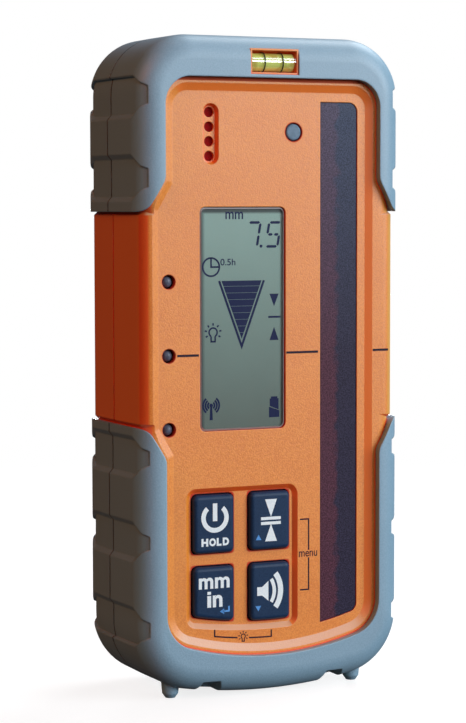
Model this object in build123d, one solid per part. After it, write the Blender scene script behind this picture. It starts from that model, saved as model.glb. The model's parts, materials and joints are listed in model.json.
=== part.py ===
from build123d import *
from math import atan2, degrees
import os

# Axes: X to the right seen from the front, Y to the back, Z up. The origin is on the
# standing surface, under the middle of the body. All sizes are in millimetres. Heights below
# count from a level STAND_Z under the pegs' tips, and the pieces are set down at the end.

# Body
BODY_W = 75.2
BODY_D = 36.0
BODY_H = 167.2
BODY_FRONT = -BODY_D / 2
BODY_REAR = BODY_D / 2
BODY_EDGE_R = 6.2
TOP_CORNER_R = 14.8
BOTTOM_CORNER_R = 16.5
BOTTOM_CREST = 1.2
BOTTOM_ARC_R = 135.0
FRONT_TAPER = 1.1
SEAM_Y = 1.0
SEAM_GROOVE_D = 0.5
SEAM_GROOVE_HALF = 0.28
OUTSIDE = 60.0

# Shells
BUMPER_T = 2.2
WALL = 2.2
FACE_T = 2.0
RIM_Y = BODY_FRONT + 2.0
FACE_Y = RIM_Y + 0.7
FACE_BACK = FACE_Y + FACE_T
REAR_Y = BODY_REAR - 1.0
REAR_BACK = REAR_Y - WALL
CORE_EDGE_R = 4.0
CAVITY_EDGE_R = 2.0
BAND_HALF = 36.2
BAND_EDGE_R = 3.5
BAND_CHAMFER = 0.8
GRADE_Z = 87.6
GASKET_INSET = 0.5
GASKET_W = 1.2
GASKET_DEPTH = 1.0

# Bumper ends, slanted towards the front panel
UPPER_END_Z = 123.3
LOWER_END_Z = 70.0
SLANT_END_X = 34.5
SLANT_DX = 4.7
SLANT_DZ = 8.0
SLANT_R = 4.0

# Sunk front panel and the opening that the bumpers leave round it
PANEL_HALF = 28.7
PANEL_WING = 32.7
PANEL_TOP = 155.2
PANEL_CREST = 11.75
PANEL_ARC_R = 80.0
PANEL_TOP_R = 5.8
PANEL_BOTTOM_R = 8.0
PANEL_BEVEL = 1.9
WING_R = 1.0
OPEN_SIDE = 1.1
OPEN_TOP = 1.5
OPEN_BOTTOM = 0.9
REAR_OPEN_EXTRA = 1.6

# Grip recesses in the bumpers' sides, as height ranges
GRIPS = [(147.4, 156.5), (127.0, 136.3), (58.4, 66.7), (37.4, 45.4), (15.4, 23.9)]
GRIP_DEPTH = 1.0
GRIP_SLOPE = 1.2
GRIP_FLOOR_Y = 17.55
GRIP_END_X = 34.0
GRIP_END_Y = 19.0
GRIP_CORNER_Y = 12.3
GRIP_CORNER_DZ = 3.3
GRIP_REACH = 6.0
GRIP_LAP = 0.2

# Notches and feet under the bottom bumper
NOTCH_X = 17.3
NOTCH_FOOT_W = 8.6
NOTCH_HEAD_W = 4.6
NOTCH_TOP = 5.3
NOTCH_END_Y = 8.0
STAND_Z = 0.8
FOOT_FRONT_X = 25.75
FOOT_REAR_X = 9.0
FOOT_Y = 10.0
FOOT_TIP_R = 1.25
FOOT_TIP_H = 1.1
FOOT_SHOULDER_R = 2.05
FOOT_ROOT_R = 2.35
FOOT_TAPER_H = 3.0
FOOT_STEM_TOP = 9.0

# Receiver window
WINDOW_X0 = 14.0
WINDOW_X1 = 24.6
WINDOW_TOP = 151.0
WINDOW_CREST = 16.4
WINDOW_R = 2.4
WINDOW_FRONT = FACE_Y + 0.25
WINDOW_FLANGE = 0.9
WINDOW_FLANGE_T = 1.0
GASKET_T = 0.4
FIT = 0.1

# Display
LCD_X0 = -19.6
LCD_X1 = 4.2
LCD_Z0 = 68.4
LCD_Z1 = 124.55
LCD_R = 1.55
LCD_COVER_FRONT = FACE_Y + 0.35
LCD_COVER_EDGE = 0.45
LCD_COVER_T = 0.5
LCD_COVER_RIM = 0.25
LCD_COVER_FLANGE = 1.4
LCD_FLANGE_T = 1.0
LCD_PLAY = 0.05
LCD_GLASS_SIDE = 2.0
LCD_GLASS_END = 3.0
LCD_GLASS_T = 2.0
LCD_FRAME_WALL = 1.2
BACKLIGHT_T = 2.0
ZEBRA_W = 2.0

# Lamps, light sensor and speaker
LED_X = -28.0
LED_PITCH = 18.4
LED_R = 1.45
LED_HOLE_R = 1.8
LED_FRONT = FACE_Y + 0.4
SENSOR_X = 6.45
SENSOR_Z = 143.3
SENSOR_R = 2.1
SENSOR_HOLE_R = 2.35
SENSOR_FLANGE_R = 3.2
SENSOR_FLANGE_T = 1.0
SENSOR_EDGE_R = 0.5
SPEAKER_X = -16.5
SPEAKER_Z = 142.6
SPEAKER_W = 4.3
SPEAKER_L = 15.2
SPEAKER_SLOPE = 0.55
SPEAKER_DEPTH = 1.2
SPEAKER_HOLE_R = 1.3
SPEAKER_PITCH = 3.63
BUZZER_R = 6.0
BUZZER_AIR = 1.0
MEMBRANE_L = 18.0
MEMBRANE_W = 8.0
MEMBRANE_T = 0.4

# Keys
FIELD_X0 = -23.5
FIELD_X1 = 7.6
FIELD_TOP = 54.1
FIELD_CREST = 17.25
FIELD_ARC_R = 140.0
FIELD_R = 2.8
FIELD_SLOPE = 1.2
FIELD_DEPTH = 0.9
KEY_COLUMNS = [-15.95, -0.35]
KEY_W = 11.2
KEY_UPPER = (37.6, 52.4)
KEY_LOWER_TOP = 34.2
KEY_CREST = 19.5
KEY_ARC_R = 105.0
KEY_R = 1.3
KEY_EDGE_R = 1.1
KEY_FRONT = FACE_Y - 0.6
KEY_GAP = 0.3
KEY_FLANGE = 1.0
KEY_FLANGE_FRONT = FACE_BACK + 0.4
KEY_FLANGE_T = 0.8
KEY_STEM_R = 2.0
KEY_STEM_L = 0.5
SEAL_Y = -11.0
SEAL_T = 0.8
SEAL_HOLE_R = 2.8
SEAL_MARGIN = 1.5
SWITCH_W = 6.0
SWITCH_H = 3.0
SWITCH_BUTTON_R = 1.7
SWITCH_BUTTON_H = 0.8

# Boards
BOARD_T = 1.6
MAIN_Y = -6.6
MAIN_X0 = -31.5
MAIN_X1 = 9.5
MAIN_Z0 = 15.0
MAIN_Z1 = 151.0
MAIN_CORNER = (6.0, 14.0)
DETECTOR_Y = -9.0
DETECTOR_X0 = 11.0
DETECTOR_X1 = 25.3
DETECTOR_Z0 = 11.0
DETECTOR_Z1 = 157.0
DIODE_COUNT = 16
DIODE_PITCH = 8.0
DIODE_W = 6.6
DIODE_H = 5.4
DIODE_T = 1.2
FILTER_T = 0.8
FILTER_MARGIN = 0.8
BOARD_SCREW_R = 0.9
BOARD_HEAD_R = 1.8
BOARD_HEAD_T = 1.2
BOARD_SCREW_L = 5.0
POST_R = 2.0
MAIN_POSTS = [(-27.0, 58.8), (7.3, 58.8), (-27.0, 133.0), (7.3, 133.5)]
DETECTOR_POSTS = [(19.3, 13.6), (19.3, 154.6)]

# Screws that hold the shells together
SCREW_X = 28.4
SCREW_Z = (24.0, 148.0)
SCREW_R = 1.25
SCREW_HOLE_R = 1.45
SCREW_HEAD_R = 2.2
SCREW_HEAD_T = 2.0
SCREW_SEAT_Y = 10.0
SCREW_TIP_Y = -8.0
SCREW_SINK_R = 2.4
SCREW_SLOT_HALF = 0.35
SCREW_SLOT_DEPTH = 0.7
FRONT_BOSS_R = 2.6
REAR_BOSS_R = 3.4

# Spirit vial and its pocket
VIAL_Y = -15.0
VIAL_Z = 160.6
VIAL_R = 2.45
VIAL_BORE_R = 2.25
VIAL_LIQUID_R = 2.2
VIAL_HALF = 6.2
VIAL_LIQUID_HALF = 5.7
RING_X = 2.5
RING_W = 0.3
RING_T = 0.12
BUBBLE_R = 0.8
BUBBLE_HALF = 1.3
BUBBLE_LIFT = 1.2
POCKET_HALF = 6.7
POCKET_Z0 = 157.5
POCKET_Z1 = 163.9
POCKET_WALL = 0.5
POCKET_FRONT = BODY_FRONT + 0.4
POCKET_FLOOR = -12.0
POCKET_BACK = -10.8

# Battery compartment, cells and contacts
TUB_HALF = 15.6
TUB_Z0 = 20.5
TUB_Z1 = 75.5
TUB_FRONT = -1.6
TUB_WALL = 1.4
CELL_R = 7.1
CELL_X = 7.5
CELL_Y = 5.7
CELL_L = 49.0
CELL_NUB_R = 2.6
CELL_NUB_L = 1.5
CONTACT_T = 0.5
CONTACT_HALF = 6.0
CONTACT_DEPTH = 9.0
LEAF_W = 6.0
LEAF_T = 0.6
LEAF_FOOT = 1.0

# Battery door with its hinge, seal and turning latch
DOOR_HALF = 19.5
DOOR_TOP = 87.0
DOOR_T = 2.0
DOOR_GAP = 0.3
DOOR_R = 2.0
LEDGE_Y = 14.0
LEDGE_BACK = 12.0
LEDGE_MARGIN = 2.5
HINGE_Y = 15.4
HINGE_Z = 17.2
HINGE_R = 1.5
HINGE_PIN_R = 0.8
HINGE_PLAY = 0.06
HINGE_TROUGH_R = 1.9
HINGE_TROUGH_DROP = 2.4
HINGE_TROUGH_RISE = 1.0
HINGE_PIN_HALF = 22.0
SEAL_RING_W = 1.6
SEAL_RING_HALF = 18.4
SEAL_RING_Z = (18.9, 77.4)
LATCH_Z = 81.0
LATCH_R = 4.0
LATCH_T = 1.2
LATCH_PLAY = 0.08
LATCH_SHAFT_R = 2.0
LATCH_TONGUE_L = 6.4
LATCH_TONGUE_W = 2.4
LATCH_TONGUE_Y = (10.6, 11.7)
LATCH_SLOT_W = 1.2
LATCH_SLOT_L = 6.4
LATCH_SLOT_DEPTH = 0.8
KEYHOLE_CLEAR = 0.5
CUP_HALF = 4.0
CUP_BACK = 10.0
CUP_WALL = 1.0

# Staff clamp interface
CLAMP_Z = 106.0
INSERT_R = 4.5
INSERT_BACK = 7.5
CLAMP_BORE_R = 2.55
CLAMP_BORE_L = 8.0
DOWEL_X = 13.0
DOWEL_BUSH_R = 2.8
DOWEL_BUSH_BACK = 10.0
DOWEL_BORE_R = 1.55
DOWEL_BORE_L = 6.0
BOSS_WALL = 1.6

TOUCH = 0.01


def slab(sketch, front, rear):
    """Front-view sketch, given depth from Y = front to Y = rear."""
    return extrude(Plane.XZ.offset(-rear) * sketch, amount=rear - front, dir=(0, -1, 0))


def box(x_range, y_range, z_range):
    """Block between the given limits."""
    sizes = [high - low for low, high in (x_range, y_range, z_range)]
    middle = [(low + high) / 2 for low, high in (x_range, y_range, z_range)]
    return Pos(*middle) * Box(*sizes)


def rod_y(x, z, radius, front, rear):
    """Round bar along Y."""
    return slab(Pos(x, z) * Circle(radius), front, rear)


def rod_x(y, z, radius, half):
    """Round bar along X, centred on X = 0."""
    return extrude(Plane.YZ.offset(-half) * (Pos(y, z) * Circle(radius)), amount=2 * half)


def rectangle(x_range, z_range, radius=0.0):
    """Front-view rectangle between the given limits."""
    width = x_range[1] - x_range[0]
    height = z_range[1] - z_range[0]
    middle = Pos(sum(x_range) / 2, sum(z_range) / 2)
    if radius:
        return middle * RectangleRounded(width, height, radius)
    return middle * Rectangle(width, height)


def arched(x_range, top, crest, arc_r, reach=0.0):
    """Front-view block whose bottom edge is an arc round the middle of the body, lowest at crest."""
    disc = Pos(0, crest + arc_r) * Circle(arc_r + reach)
    return rectangle(x_range, (0, top)) & disc


def round_corners(sketch, upper_r, lower_r):
    """Round a sketch's upper and lower corners."""
    middle = sketch.bounding_box().center().Y
    sketch = fillet([v for v in sketch.vertices() if v.Y > middle], upper_r)
    lowest = sketch.vertices().sort_by(Axis.Y)[:2]
    return fillet(lowest, lower_r)


def tapered(outline, inset, front, rear):
    """Recess cutter from an outline at the front to the same outline, drawn in, at the rear."""
    sections = [Plane.XZ.offset(-front) * outline(0.0), Plane.XZ.offset(-rear) * outline(inset)]
    return loft(sections, ruled=True)


def side_taper(y):
    """How far each side has drawn in at depth y, on the way from the seam to the front."""
    return FRONT_TAPER * (SEAM_Y - y) / (SEAM_Y - BODY_FRONT)


def body_outline(inset, taper=0.0):
    """Front view of the body: straight sides, round corners, bottom swelling down."""
    half = BODY_W / 2 - inset - taper
    block = arched((-half, half), BODY_H - inset, BOTTOM_CREST, BOTTOM_ARC_R, -inset)
    return round_corners(block, TOP_CORNER_R - inset, BOTTOM_CORNER_R - inset)


def rounded_body(inset, front, rear, edge_r):
    """Body block with a tapered front half, and its front and rear edges rounded."""
    seam = Plane.XZ.offset(-SEAM_Y) * body_outline(inset)
    face = Plane.XZ.offset(-front) * body_outline(inset, side_taper(front))
    solid = slab(body_outline(inset), SEAM_Y, rear) + loft([seam, face], ruled=True)
    faces = solid.faces().sort_by(Axis.Y)
    return fillet(faces[0].edges() + faces[-1].edges(), edge_r)


def slant_z(end_z, way, x, gap):
    """Height at x of a line parallel to a bumper's slanted end and a distance gap inside it."""
    slope = SLANT_DZ / SLANT_DX
    return end_z + way * (slope * (SLANT_END_X - x) - gap * (1 + slope ** 2) ** 0.5)


def panel_outline(inset):
    """Edge of the sunk panel; its left side widens between the bumpers' ends."""
    half = PANEL_HALF - inset
    wing = PANEL_WING - inset
    gap = OPEN_SIDE + inset
    block = arched((-half, half), PANEL_TOP - inset, PANEL_CREST, PANEL_ARC_R, -inset)
    upper = [(-x, slant_z(UPPER_END_Z, 1, x, gap)) for x in (half, wing)]
    lower = [(-x, slant_z(LOWER_END_Z, -1, x, gap)) for x in (wing, half)]
    widening = Polygon((0, upper[0][1]), *upper, *lower, (0, lower[-1][1]), align=None)
    block = round_corners(block, PANEL_TOP_R - inset, PANEL_BOTTOM_R - inset)
    outline = block + widening
    bends = []
    for x, z in upper + lower:
        bends += [v for v in outline.vertices() if abs(v.X - x) + abs(v.Y - z) < TOUCH]
    return fillet(bends, WING_R)


def bumper_opening(extra):
    """Space that the bumpers leave free in front of the panel, and between their ends."""
    half = PANEL_HALF + OPEN_SIDE + extra
    top = PANEL_TOP + OPEN_TOP + extra
    block = arched((-half, half), top, PANEL_CREST, PANEL_ARC_R, OPEN_BOTTOM + extra)
    grow = OPEN_SIDE + extra
    block = round_corners(block, PANEL_TOP_R + grow, PANEL_BOTTOM_R + grow)
    corners = []
    bends = []
    for end_z, way in ((UPPER_END_Z, 1), (LOWER_END_Z, -1)):
        right = [(OUTSIDE, end_z), (SLANT_END_X, end_z), (PANEL_HALF, slant_z(end_z, way, PANEL_HALF, 0))]
        left = [(-x, z) for x, z in reversed(right)]
        corners += (right + left)[::way]
        bends += [(SLANT_END_X, end_z), (half, slant_z(end_z, way, half, 0))]
    outline = block + Polygon(*corners, align=None)
    places = [Vector(side * x, z) for x, z in bends for side in (-1, 1)]
    near = [v for v in outline.vertices() if any((Vector(v.X, v.Y) - p).length < TOUCH for p in places)]
    return fillet(near, SLANT_R)


def window_outline(grow):
    """Edge of the receiver window; square on the left, round on the right."""
    x_range = (WINDOW_X0 - grow, WINDOW_X1 + grow)
    block = arched(x_range, WINDOW_TOP + grow, WINDOW_CREST, PANEL_ARC_R, grow)
    right = [v for v in block.vertices() if v.X > x_range[1] - TOUCH]
    return fillet(right, WINDOW_R + grow)


def field_outline(inset):
    """Edge of the sunk key field."""
    x_range = (FIELD_X0 + inset, FIELD_X1 - inset)
    block = arched(x_range, FIELD_TOP - inset, FIELD_CREST, FIELD_ARC_R, -inset)
    return round_corners(block, FIELD_R - inset, FIELD_R - inset)


def speaker_outline(inset):
    """Edge of the upright speaker slot."""
    slot = SlotOverall(SPEAKER_L - 2 * inset, SPEAKER_W - 2 * inset, rotation=90)
    return Pos(SPEAKER_X, SPEAKER_Z) * slot


def key_outline(column, is_upper, grow):
    """Edge of one key; the lower keys follow the arched bottom of the field."""
    middle = KEY_COLUMNS[column]
    x_range = (middle - KEY_W / 2 - grow, middle + KEY_W / 2 + grow)
    if is_upper:
        return rectangle(x_range, (KEY_UPPER[0] - grow, KEY_UPPER[1] + grow), KEY_R + grow)
    block = arched(x_range, KEY_LOWER_TOP + grow, KEY_CREST, KEY_ARC_R, grow)
    return fillet(block.vertices(), KEY_R + grow)


def key_middle(column, is_upper):
    """Middle of one key, where its stem and its switch are."""
    z_range = KEY_UPPER if is_upper else (KEY_CREST, KEY_LOWER_TOP)
    return KEY_COLUMNS[column], sum(z_range) / 2


KEYS = {"power_key": (0, True), "grade_key": (1, True), "units_key": (0, False), "sound_key": (1, False)}
LED_NODES = {"led_low": -1, "led_on_grade": 0, "led_high": 1}
SCREW_PLACES = [(side * SCREW_X, z) for side in (-1, 1) for z in SCREW_Z]


def speaker_hole_places():
    """Middles of the four speaker holes."""
    return [(SPEAKER_X, SPEAKER_Z + SPEAKER_PITCH * (i - 1.5)) for i in range(4)]


def shell_block():
    """Both shells as one solid block, before they are hollowed and parted."""
    core = rounded_body(BUMPER_T, RIM_Y, REAR_Y, CORE_EDGE_R)
    right = [(BAND_HALF, REAR_Y), (BAND_HALF, SEAM_Y), (BAND_HALF - side_taper(RIM_Y), RIM_Y)]
    left = [(-x, y) for x, y in reversed(right)]
    plan = Polygon(*right, *left, align=None)
    plan = fillet([v for v in plan.vertices() if abs(v.Y - SEAM_Y) > TOUCH], BAND_EDGE_R)
    band = extrude(Pos(0, 0, LOWER_END_Z) * plan, amount=UPPER_END_Z - LOWER_END_Z, dir=(0, 0, 1))
    ends = band.faces().sort_by(Axis.Z)
    band = chamfer(ends[0].edges() + ends[-1].edges(), BAND_CHAMFER)
    groove_y = (SEAM_Y - SEAM_GROOVE_HALF, SEAM_Y + SEAM_GROOVE_HALF)
    groove = box((BAND_HALF - SEAM_GROOVE_D, BODY_W), groove_y, (LOWER_END_Z, UPPER_END_Z))
    return core + band - groove - mirror(groove, about=Plane.YZ)


def cavity():
    """Hollow inside the shells."""
    return rounded_body(BUMPER_T + WALL, FACE_BACK, REAR_BACK, CAVITY_EDGE_R)


def half_space(front, rear):
    """Block that keeps a solid between two depths."""
    return box((-OUTSIDE, OUTSIDE), (front, rear), (-OUTSIDE, BODY_H + OUTSIDE))


def pocket_block(front):
    """Outside of the vial pocket, from a given depth."""
    return box((-POCKET_HALF, POCKET_HALF), (front, POCKET_BACK), (POCKET_Z0, POCKET_Z1))


def make_front_shell(block, hollow):
    """Front shell with its sunk panel, openings, key field, vial pocket and inner posts."""
    shell = (block - hollow) & half_space(-OUTSIDE, SEAM_Y)
    shell += pocket_block(POCKET_FRONT)
    for x, z in SCREW_PLACES:
        shell += rod_y(x, z, FRONT_BOSS_R, FACE_BACK - TOUCH, SEAM_Y)
        shell -= rod_y(x, z, SCREW_R, SCREW_TIP_Y, SEAM_Y)
    for places, board_y in ((MAIN_POSTS, MAIN_Y), (DETECTOR_POSTS, DETECTOR_Y)):
        for x, z in places:
            shell += rod_y(x, z, POST_R, FACE_BACK - TOUCH, board_y)
            shell -= rod_y(x, z, BOARD_SCREW_R, board_y + BOARD_T - BOARD_SCREW_L, board_y)
    rim = field_outline(-SEAL_MARGIN) - field_outline(0)
    shell += slab(rim, FACE_BACK - TOUCH, SEAL_Y)
    shell -= tapered(panel_outline, PANEL_BEVEL, RIM_Y, FACE_Y)
    shell -= tapered(field_outline, FIELD_SLOPE, FACE_Y, FACE_Y + FIELD_DEPTH)
    shell -= tapered(speaker_outline, SPEAKER_SLOPE, FACE_Y, FACE_Y + SPEAKER_DEPTH)
    for column, is_upper in KEYS.values():
        shell -= slab(key_outline(column, is_upper, KEY_GAP), FACE_Y, FACE_BACK)
    for x, z in speaker_hole_places():
        shell -= rod_y(x, z, SPEAKER_HOLE_R, FACE_Y, FACE_BACK)
    for step in LED_NODES.values():
        shell -= rod_y(LED_X, GRADE_Z + step * LED_PITCH, LED_HOLE_R, FACE_Y, FACE_BACK)
    shell -= rod_y(SENSOR_X, SENSOR_Z, SENSOR_HOLE_R, FACE_Y, FACE_BACK)
    shell -= slab(window_outline(0), FACE_Y, FACE_BACK)
    shell -= slab(rectangle((LCD_X0, LCD_X1), (LCD_Z0, LCD_Z1), LCD_R), FACE_Y, FACE_BACK)
    inner_half = POCKET_HALF - POCKET_WALL
    inner_z = (POCKET_Z0 + POCKET_WALL, POCKET_Z1 - POCKET_WALL)
    return shell - box((-inner_half, inner_half), (BODY_FRONT, POCKET_FLOOR), inner_z)


def gasket_ring():
    """Cord that seals the seam, lying in a groove of the rear shell."""
    outer = BUMPER_T + GASKET_INSET
    ring = body_outline(outer) - body_outline(outer + GASKET_W)
    return slab(ring, SEAM_Y, SEAM_Y + GASKET_DEPTH)


def make_rear_shell(block, hollow):
    """Rear shell with its battery tub, door recess, clamp bosses and screw bosses."""
    shell = (block - hollow) & half_space(SEAM_Y, OUTSIDE)
    outer_x = (-TUB_HALF - TUB_WALL, TUB_HALF + TUB_WALL)
    outer_z = (TUB_Z0 - TUB_WALL, TUB_Z1 + TUB_WALL)
    shell += box(outer_x, (TUB_FRONT - TUB_WALL, REAR_BACK + TOUCH), outer_z)
    ledge_half = DOOR_HALF + LEDGE_MARGIN
    ledge_z = (HINGE_Z - HINGE_R - LEDGE_MARGIN, DOOR_TOP + LEDGE_MARGIN)
    shell += box((-ledge_half, ledge_half), (LEDGE_BACK, REAR_BACK + TOUCH), ledge_z)
    cup_z = (LATCH_Z - CUP_HALF, LATCH_Z + CUP_HALF)
    cup_outer = CUP_HALF + CUP_WALL
    cup_y = (CUP_BACK - CUP_WALL, LEDGE_BACK)
    shell += box((-cup_outer, cup_outer), cup_y, (cup_z[0], cup_z[1] + CUP_WALL))
    shell += rod_y(0, CLAMP_Z, INSERT_R + BOSS_WALL, INSERT_BACK - BOSS_WALL, REAR_BACK + TOUCH)
    for side in (-1, 1):
        boss_r = DOWEL_BUSH_R + BOSS_WALL
        shell += rod_y(side * DOWEL_X, CLAMP_Z, boss_r, DOWEL_BUSH_BACK - BOSS_WALL, REAR_BACK + TOUCH)
    for x, z in SCREW_PLACES:
        shell += rod_y(x, z, REAR_BOSS_R, SEAM_Y, REAR_BACK + TOUCH)
    shell -= box((-TUB_HALF, TUB_HALF), (TUB_FRONT, LEDGE_Y), (TUB_Z0, TUB_Z1))
    recess_half = DOOR_HALF + DOOR_GAP
    recess = rectangle((-recess_half, recess_half), (HINGE_Z, DOOR_TOP + DOOR_GAP))
    recess = fillet(recess.vertices().sort_by(Axis.Y)[2:], DOOR_R)
    shell -= slab(recess, LEDGE_Y, BODY_REAR)
    shell -= rod_x(HINGE_Y, HINGE_Z, HINGE_TROUGH_R, recess_half)
    trough_z = (HINGE_Z - HINGE_TROUGH_DROP, HINGE_Z + HINGE_TROUGH_RISE)
    shell -= box((-recess_half, recess_half), (HINGE_Y, BODY_REAR), trough_z)
    shell -= rod_x(HINGE_Y, HINGE_Z, HINGE_PIN_R, HINGE_PIN_HALF)
    shell -= box((-CUP_HALF, CUP_HALF), (CUP_BACK, LEDGE_BACK + TOUCH), (cup_z[0] + TOUCH, cup_z[1]))
    shell -= rod_y(0, LATCH_Z, LATCH_SHAFT_R + KEYHOLE_CLEAR, LEDGE_BACK, LEDGE_Y)
    keyhole_x = LATCH_TONGUE_L / 2 + KEYHOLE_CLEAR
    keyhole_z = LATCH_TONGUE_W / 2 + KEYHOLE_CLEAR
    shell -= box((-keyhole_x, keyhole_x), (LEDGE_BACK, LEDGE_Y), (LATCH_Z - keyhole_z, LATCH_Z + keyhole_z))
    shell -= rod_y(0, CLAMP_Z, INSERT_R, INSERT_BACK, BODY_REAR)
    for side in (-1, 1):
        shell -= rod_y(side * DOWEL_X, CLAMP_Z, DOWEL_BUSH_R, DOWEL_BUSH_BACK, BODY_REAR)
    for x, z in SCREW_PLACES:
        shell -= rod_y(x, z, SCREW_HOLE_R, SEAM_Y, SCREW_SEAT_Y)
        shell -= rod_y(x, z, SCREW_SINK_R, SCREW_SEAT_Y, BODY_REAR)
    return shell - gasket_ring()


def grip_outline(z_range, grow, way):
    """Side view of half a grip recess, from the seam to its clipped end, measured from the seam."""
    z0 = z_range[0] - grow
    z1 = z_range[1] + grow
    corner = GRIP_CORNER_Y - way * SEAM_Y
    end = GRIP_END_Y - way * SEAM_Y
    low = [(-GRIP_LAP, z0), (corner, z0), (end, z0 + GRIP_CORNER_DZ)]
    high = [(end, z1 - GRIP_CORNER_DZ), (corner, z1), (-GRIP_LAP, z1)]
    return Polygon(*[(way * y, z) for y, z in low + high], align=None)


def grip_cutter(z_range):
    """One grip recess on the right side, with sloping walls; its front half follows the taper."""
    taper_angle = degrees(atan2(FRONT_TAPER, SEAM_Y - BODY_FRONT))
    halves = []
    for way, angle in ((-1, taper_angle), (1, 0)):
        mouth = Plane.YZ * grip_outline(z_range, GRIP_SLOPE, way)
        floor = Plane.YZ.offset(-GRIP_DEPTH) * grip_outline(z_range, 0, way)
        inner = extrude(floor, amount=GRIP_REACH, dir=(-1, 0, 0))
        half = loft([mouth, floor], ruled=True) + inner
        halves.append(Pos(BODY_W / 2, SEAM_Y, 0) * Rot(0, 0, -angle) * half)
    return (halves[0] + halves[1]) & box((GRIP_END_X, OUTSIDE), (-OUTSIDE, OUTSIDE), (0, BODY_H))


def seam_groove(depth):
    """Fine groove along the seam, cut to a depth below the body's outline."""
    ring = body_outline(-GRIP_DEPTH) - body_outline(depth)
    return slab(ring, SEAM_Y - SEAM_GROOVE_HALF, SEAM_Y + SEAM_GROOVE_HALF)


def make_feet(block):
    """Four blunt pegs that reach through the bottom bumper to the shells; the rear pair stands closer."""
    shoulder = STAND_Z + FOOT_TIP_H
    root = shoulder + FOOT_TAPER_H
    half = [(FOOT_TIP_R, STAND_Z), (FOOT_SHOULDER_R, shoulder), (FOOT_ROOT_R, root), (FOOT_ROOT_R, FOOT_STEM_TOP)]
    profile = Polygon((0, STAND_Z), *half, (0, FOOT_STEM_TOP), align=None)
    peg = revolve(Plane.XZ * profile, Axis.Z)
    places = [(side * x, y, 0) for x, y in ((FOOT_FRONT_X, -FOOT_Y), (FOOT_REAR_X, FOOT_Y)) for side in (-1, 1)]
    return [Pos(*place) * peg - block for place in places]


def make_bumpers(block, feet):
    """Top and bottom bumpers, each parted into a front and a rear piece at the seam."""
    outer = rounded_body(0, BODY_FRONT, BODY_REAR, BODY_EDGE_R)
    grip_floor = rounded_body(GRIP_DEPTH, -GRIP_FLOOR_Y, GRIP_FLOOR_Y, BODY_EDGE_R - GRIP_DEPTH)
    deep_groove = seam_groove(GRIP_DEPTH + SEAM_GROOVE_D)
    ring = outer - block - seam_groove(SEAM_GROOVE_D)
    ring -= slab(bumper_opening(0), BODY_FRONT, SEAM_Y)
    ring -= slab(bumper_opening(REAR_OPEN_EXTRA), SEAM_Y, BODY_REAR)
    for z_range in GRIPS:
        recess = grip_cutter(z_range) - grip_floor
        ring -= recess
        ring -= mirror(recess, about=Plane.YZ)
        ring -= deep_groove & box((-OUTSIDE, OUTSIDE), (-OUTSIDE, OUTSIDE), z_range)
    half_foot = NOTCH_FOOT_W / 2
    half_head = NOTCH_HEAD_W / 2
    corners = [(-half_foot, 0), (half_foot, 0), (half_head, NOTCH_TOP), (-half_head, NOTCH_TOP)]
    notch = Polygon(*corners, align=None)
    for side in (-1, 1):
        sketch = Pos(side * NOTCH_X, 0) * notch
        ring -= slab(sketch, BODY_FRONT, -NOTCH_END_Y)
        ring -= slab(sketch, NOTCH_END_Y, BODY_REAR)
    ring -= pocket_block(BODY_FRONT)
    for foot in feet:
        ring -= foot
    pieces = {}
    for name, z_range in (("top", (GRADE_Z, BODY_H)), ("bottom", (0, GRADE_Z))):
        for end, y_range in (("front", (BODY_FRONT, SEAM_Y)), ("rear", (SEAM_Y, BODY_REAR))):
            pieces[f"{name}_bumper_{end}"] = ring & box((-OUTSIDE, OUTSIDE), y_range, z_range)
    return pieces


def make_window():
    """Tinted window: a plate in the opening, and a flange behind the face."""
    plate = slab(window_outline(-FIT), WINDOW_FRONT, FACE_BACK + GASKET_T)
    flange_front = FACE_BACK + GASKET_T
    return plate + slab(window_outline(WINDOW_FLANGE), flange_front, flange_front + WINDOW_FLANGE_T)


def make_window_gasket():
    """Flat seal between the window's flange and the face."""
    ring = window_outline(WINDOW_FLANGE) - window_outline(0)
    return slab(ring, FACE_BACK, FACE_BACK + GASKET_T)


def make_filter():
    """Optical filter strip between the window and the photodiodes."""
    back = DETECTOR_Y - DIODE_T
    return slab(window_outline(-FILTER_MARGIN), back - FILTER_T, back)


def make_detector_board():
    """Board behind the window that carries the photodiodes."""
    board = box((DETECTOR_X0, DETECTOR_X1), (DETECTOR_Y, DETECTOR_Y + BOARD_T), (DETECTOR_Z0, DETECTOR_Z1))
    for x, z in DETECTOR_POSTS:
        board -= rod_y(x, z, BOARD_SCREW_R, DETECTOR_Y, DETECTOR_Y + BOARD_T)
    return board


def make_photodiodes():
    """Column of light detectors."""
    x = (WINDOW_X0 + WINDOW_X1) / 2
    middle = (WINDOW_CREST + WINDOW_TOP) / 2
    diodes = []
    for i in range(DIODE_COUNT):
        z = middle + DIODE_PITCH * (i - (DIODE_COUNT - 1) / 2)
        x_range = (x - DIODE_W / 2, x + DIODE_W / 2)
        z_range = (z - DIODE_H / 2, z + DIODE_H / 2)
        diodes.append(box(x_range, (DETECTOR_Y - DIODE_T, DETECTOR_Y), z_range))
    return diodes


def make_main_board():
    """Main board, with its left corners cut away for the shell screws."""
    outline = rectangle((MAIN_X0, MAIN_X1), (MAIN_Z0, MAIN_Z1))
    corner_w, corner_h = MAIN_CORNER
    outline -= rectangle((MAIN_X0, MAIN_X0 + corner_w), (MAIN_Z0, MAIN_Z0 + corner_h))
    outline -= rectangle((MAIN_X0, MAIN_X0 + corner_w), (MAIN_Z1 - corner_h, MAIN_Z1))
    board = slab(outline, MAIN_Y, MAIN_Y + BOARD_T)
    for x, z in MAIN_POSTS:
        board -= rod_y(x, z, BOARD_SCREW_R, MAIN_Y, MAIN_Y + BOARD_T)
    return board


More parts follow.
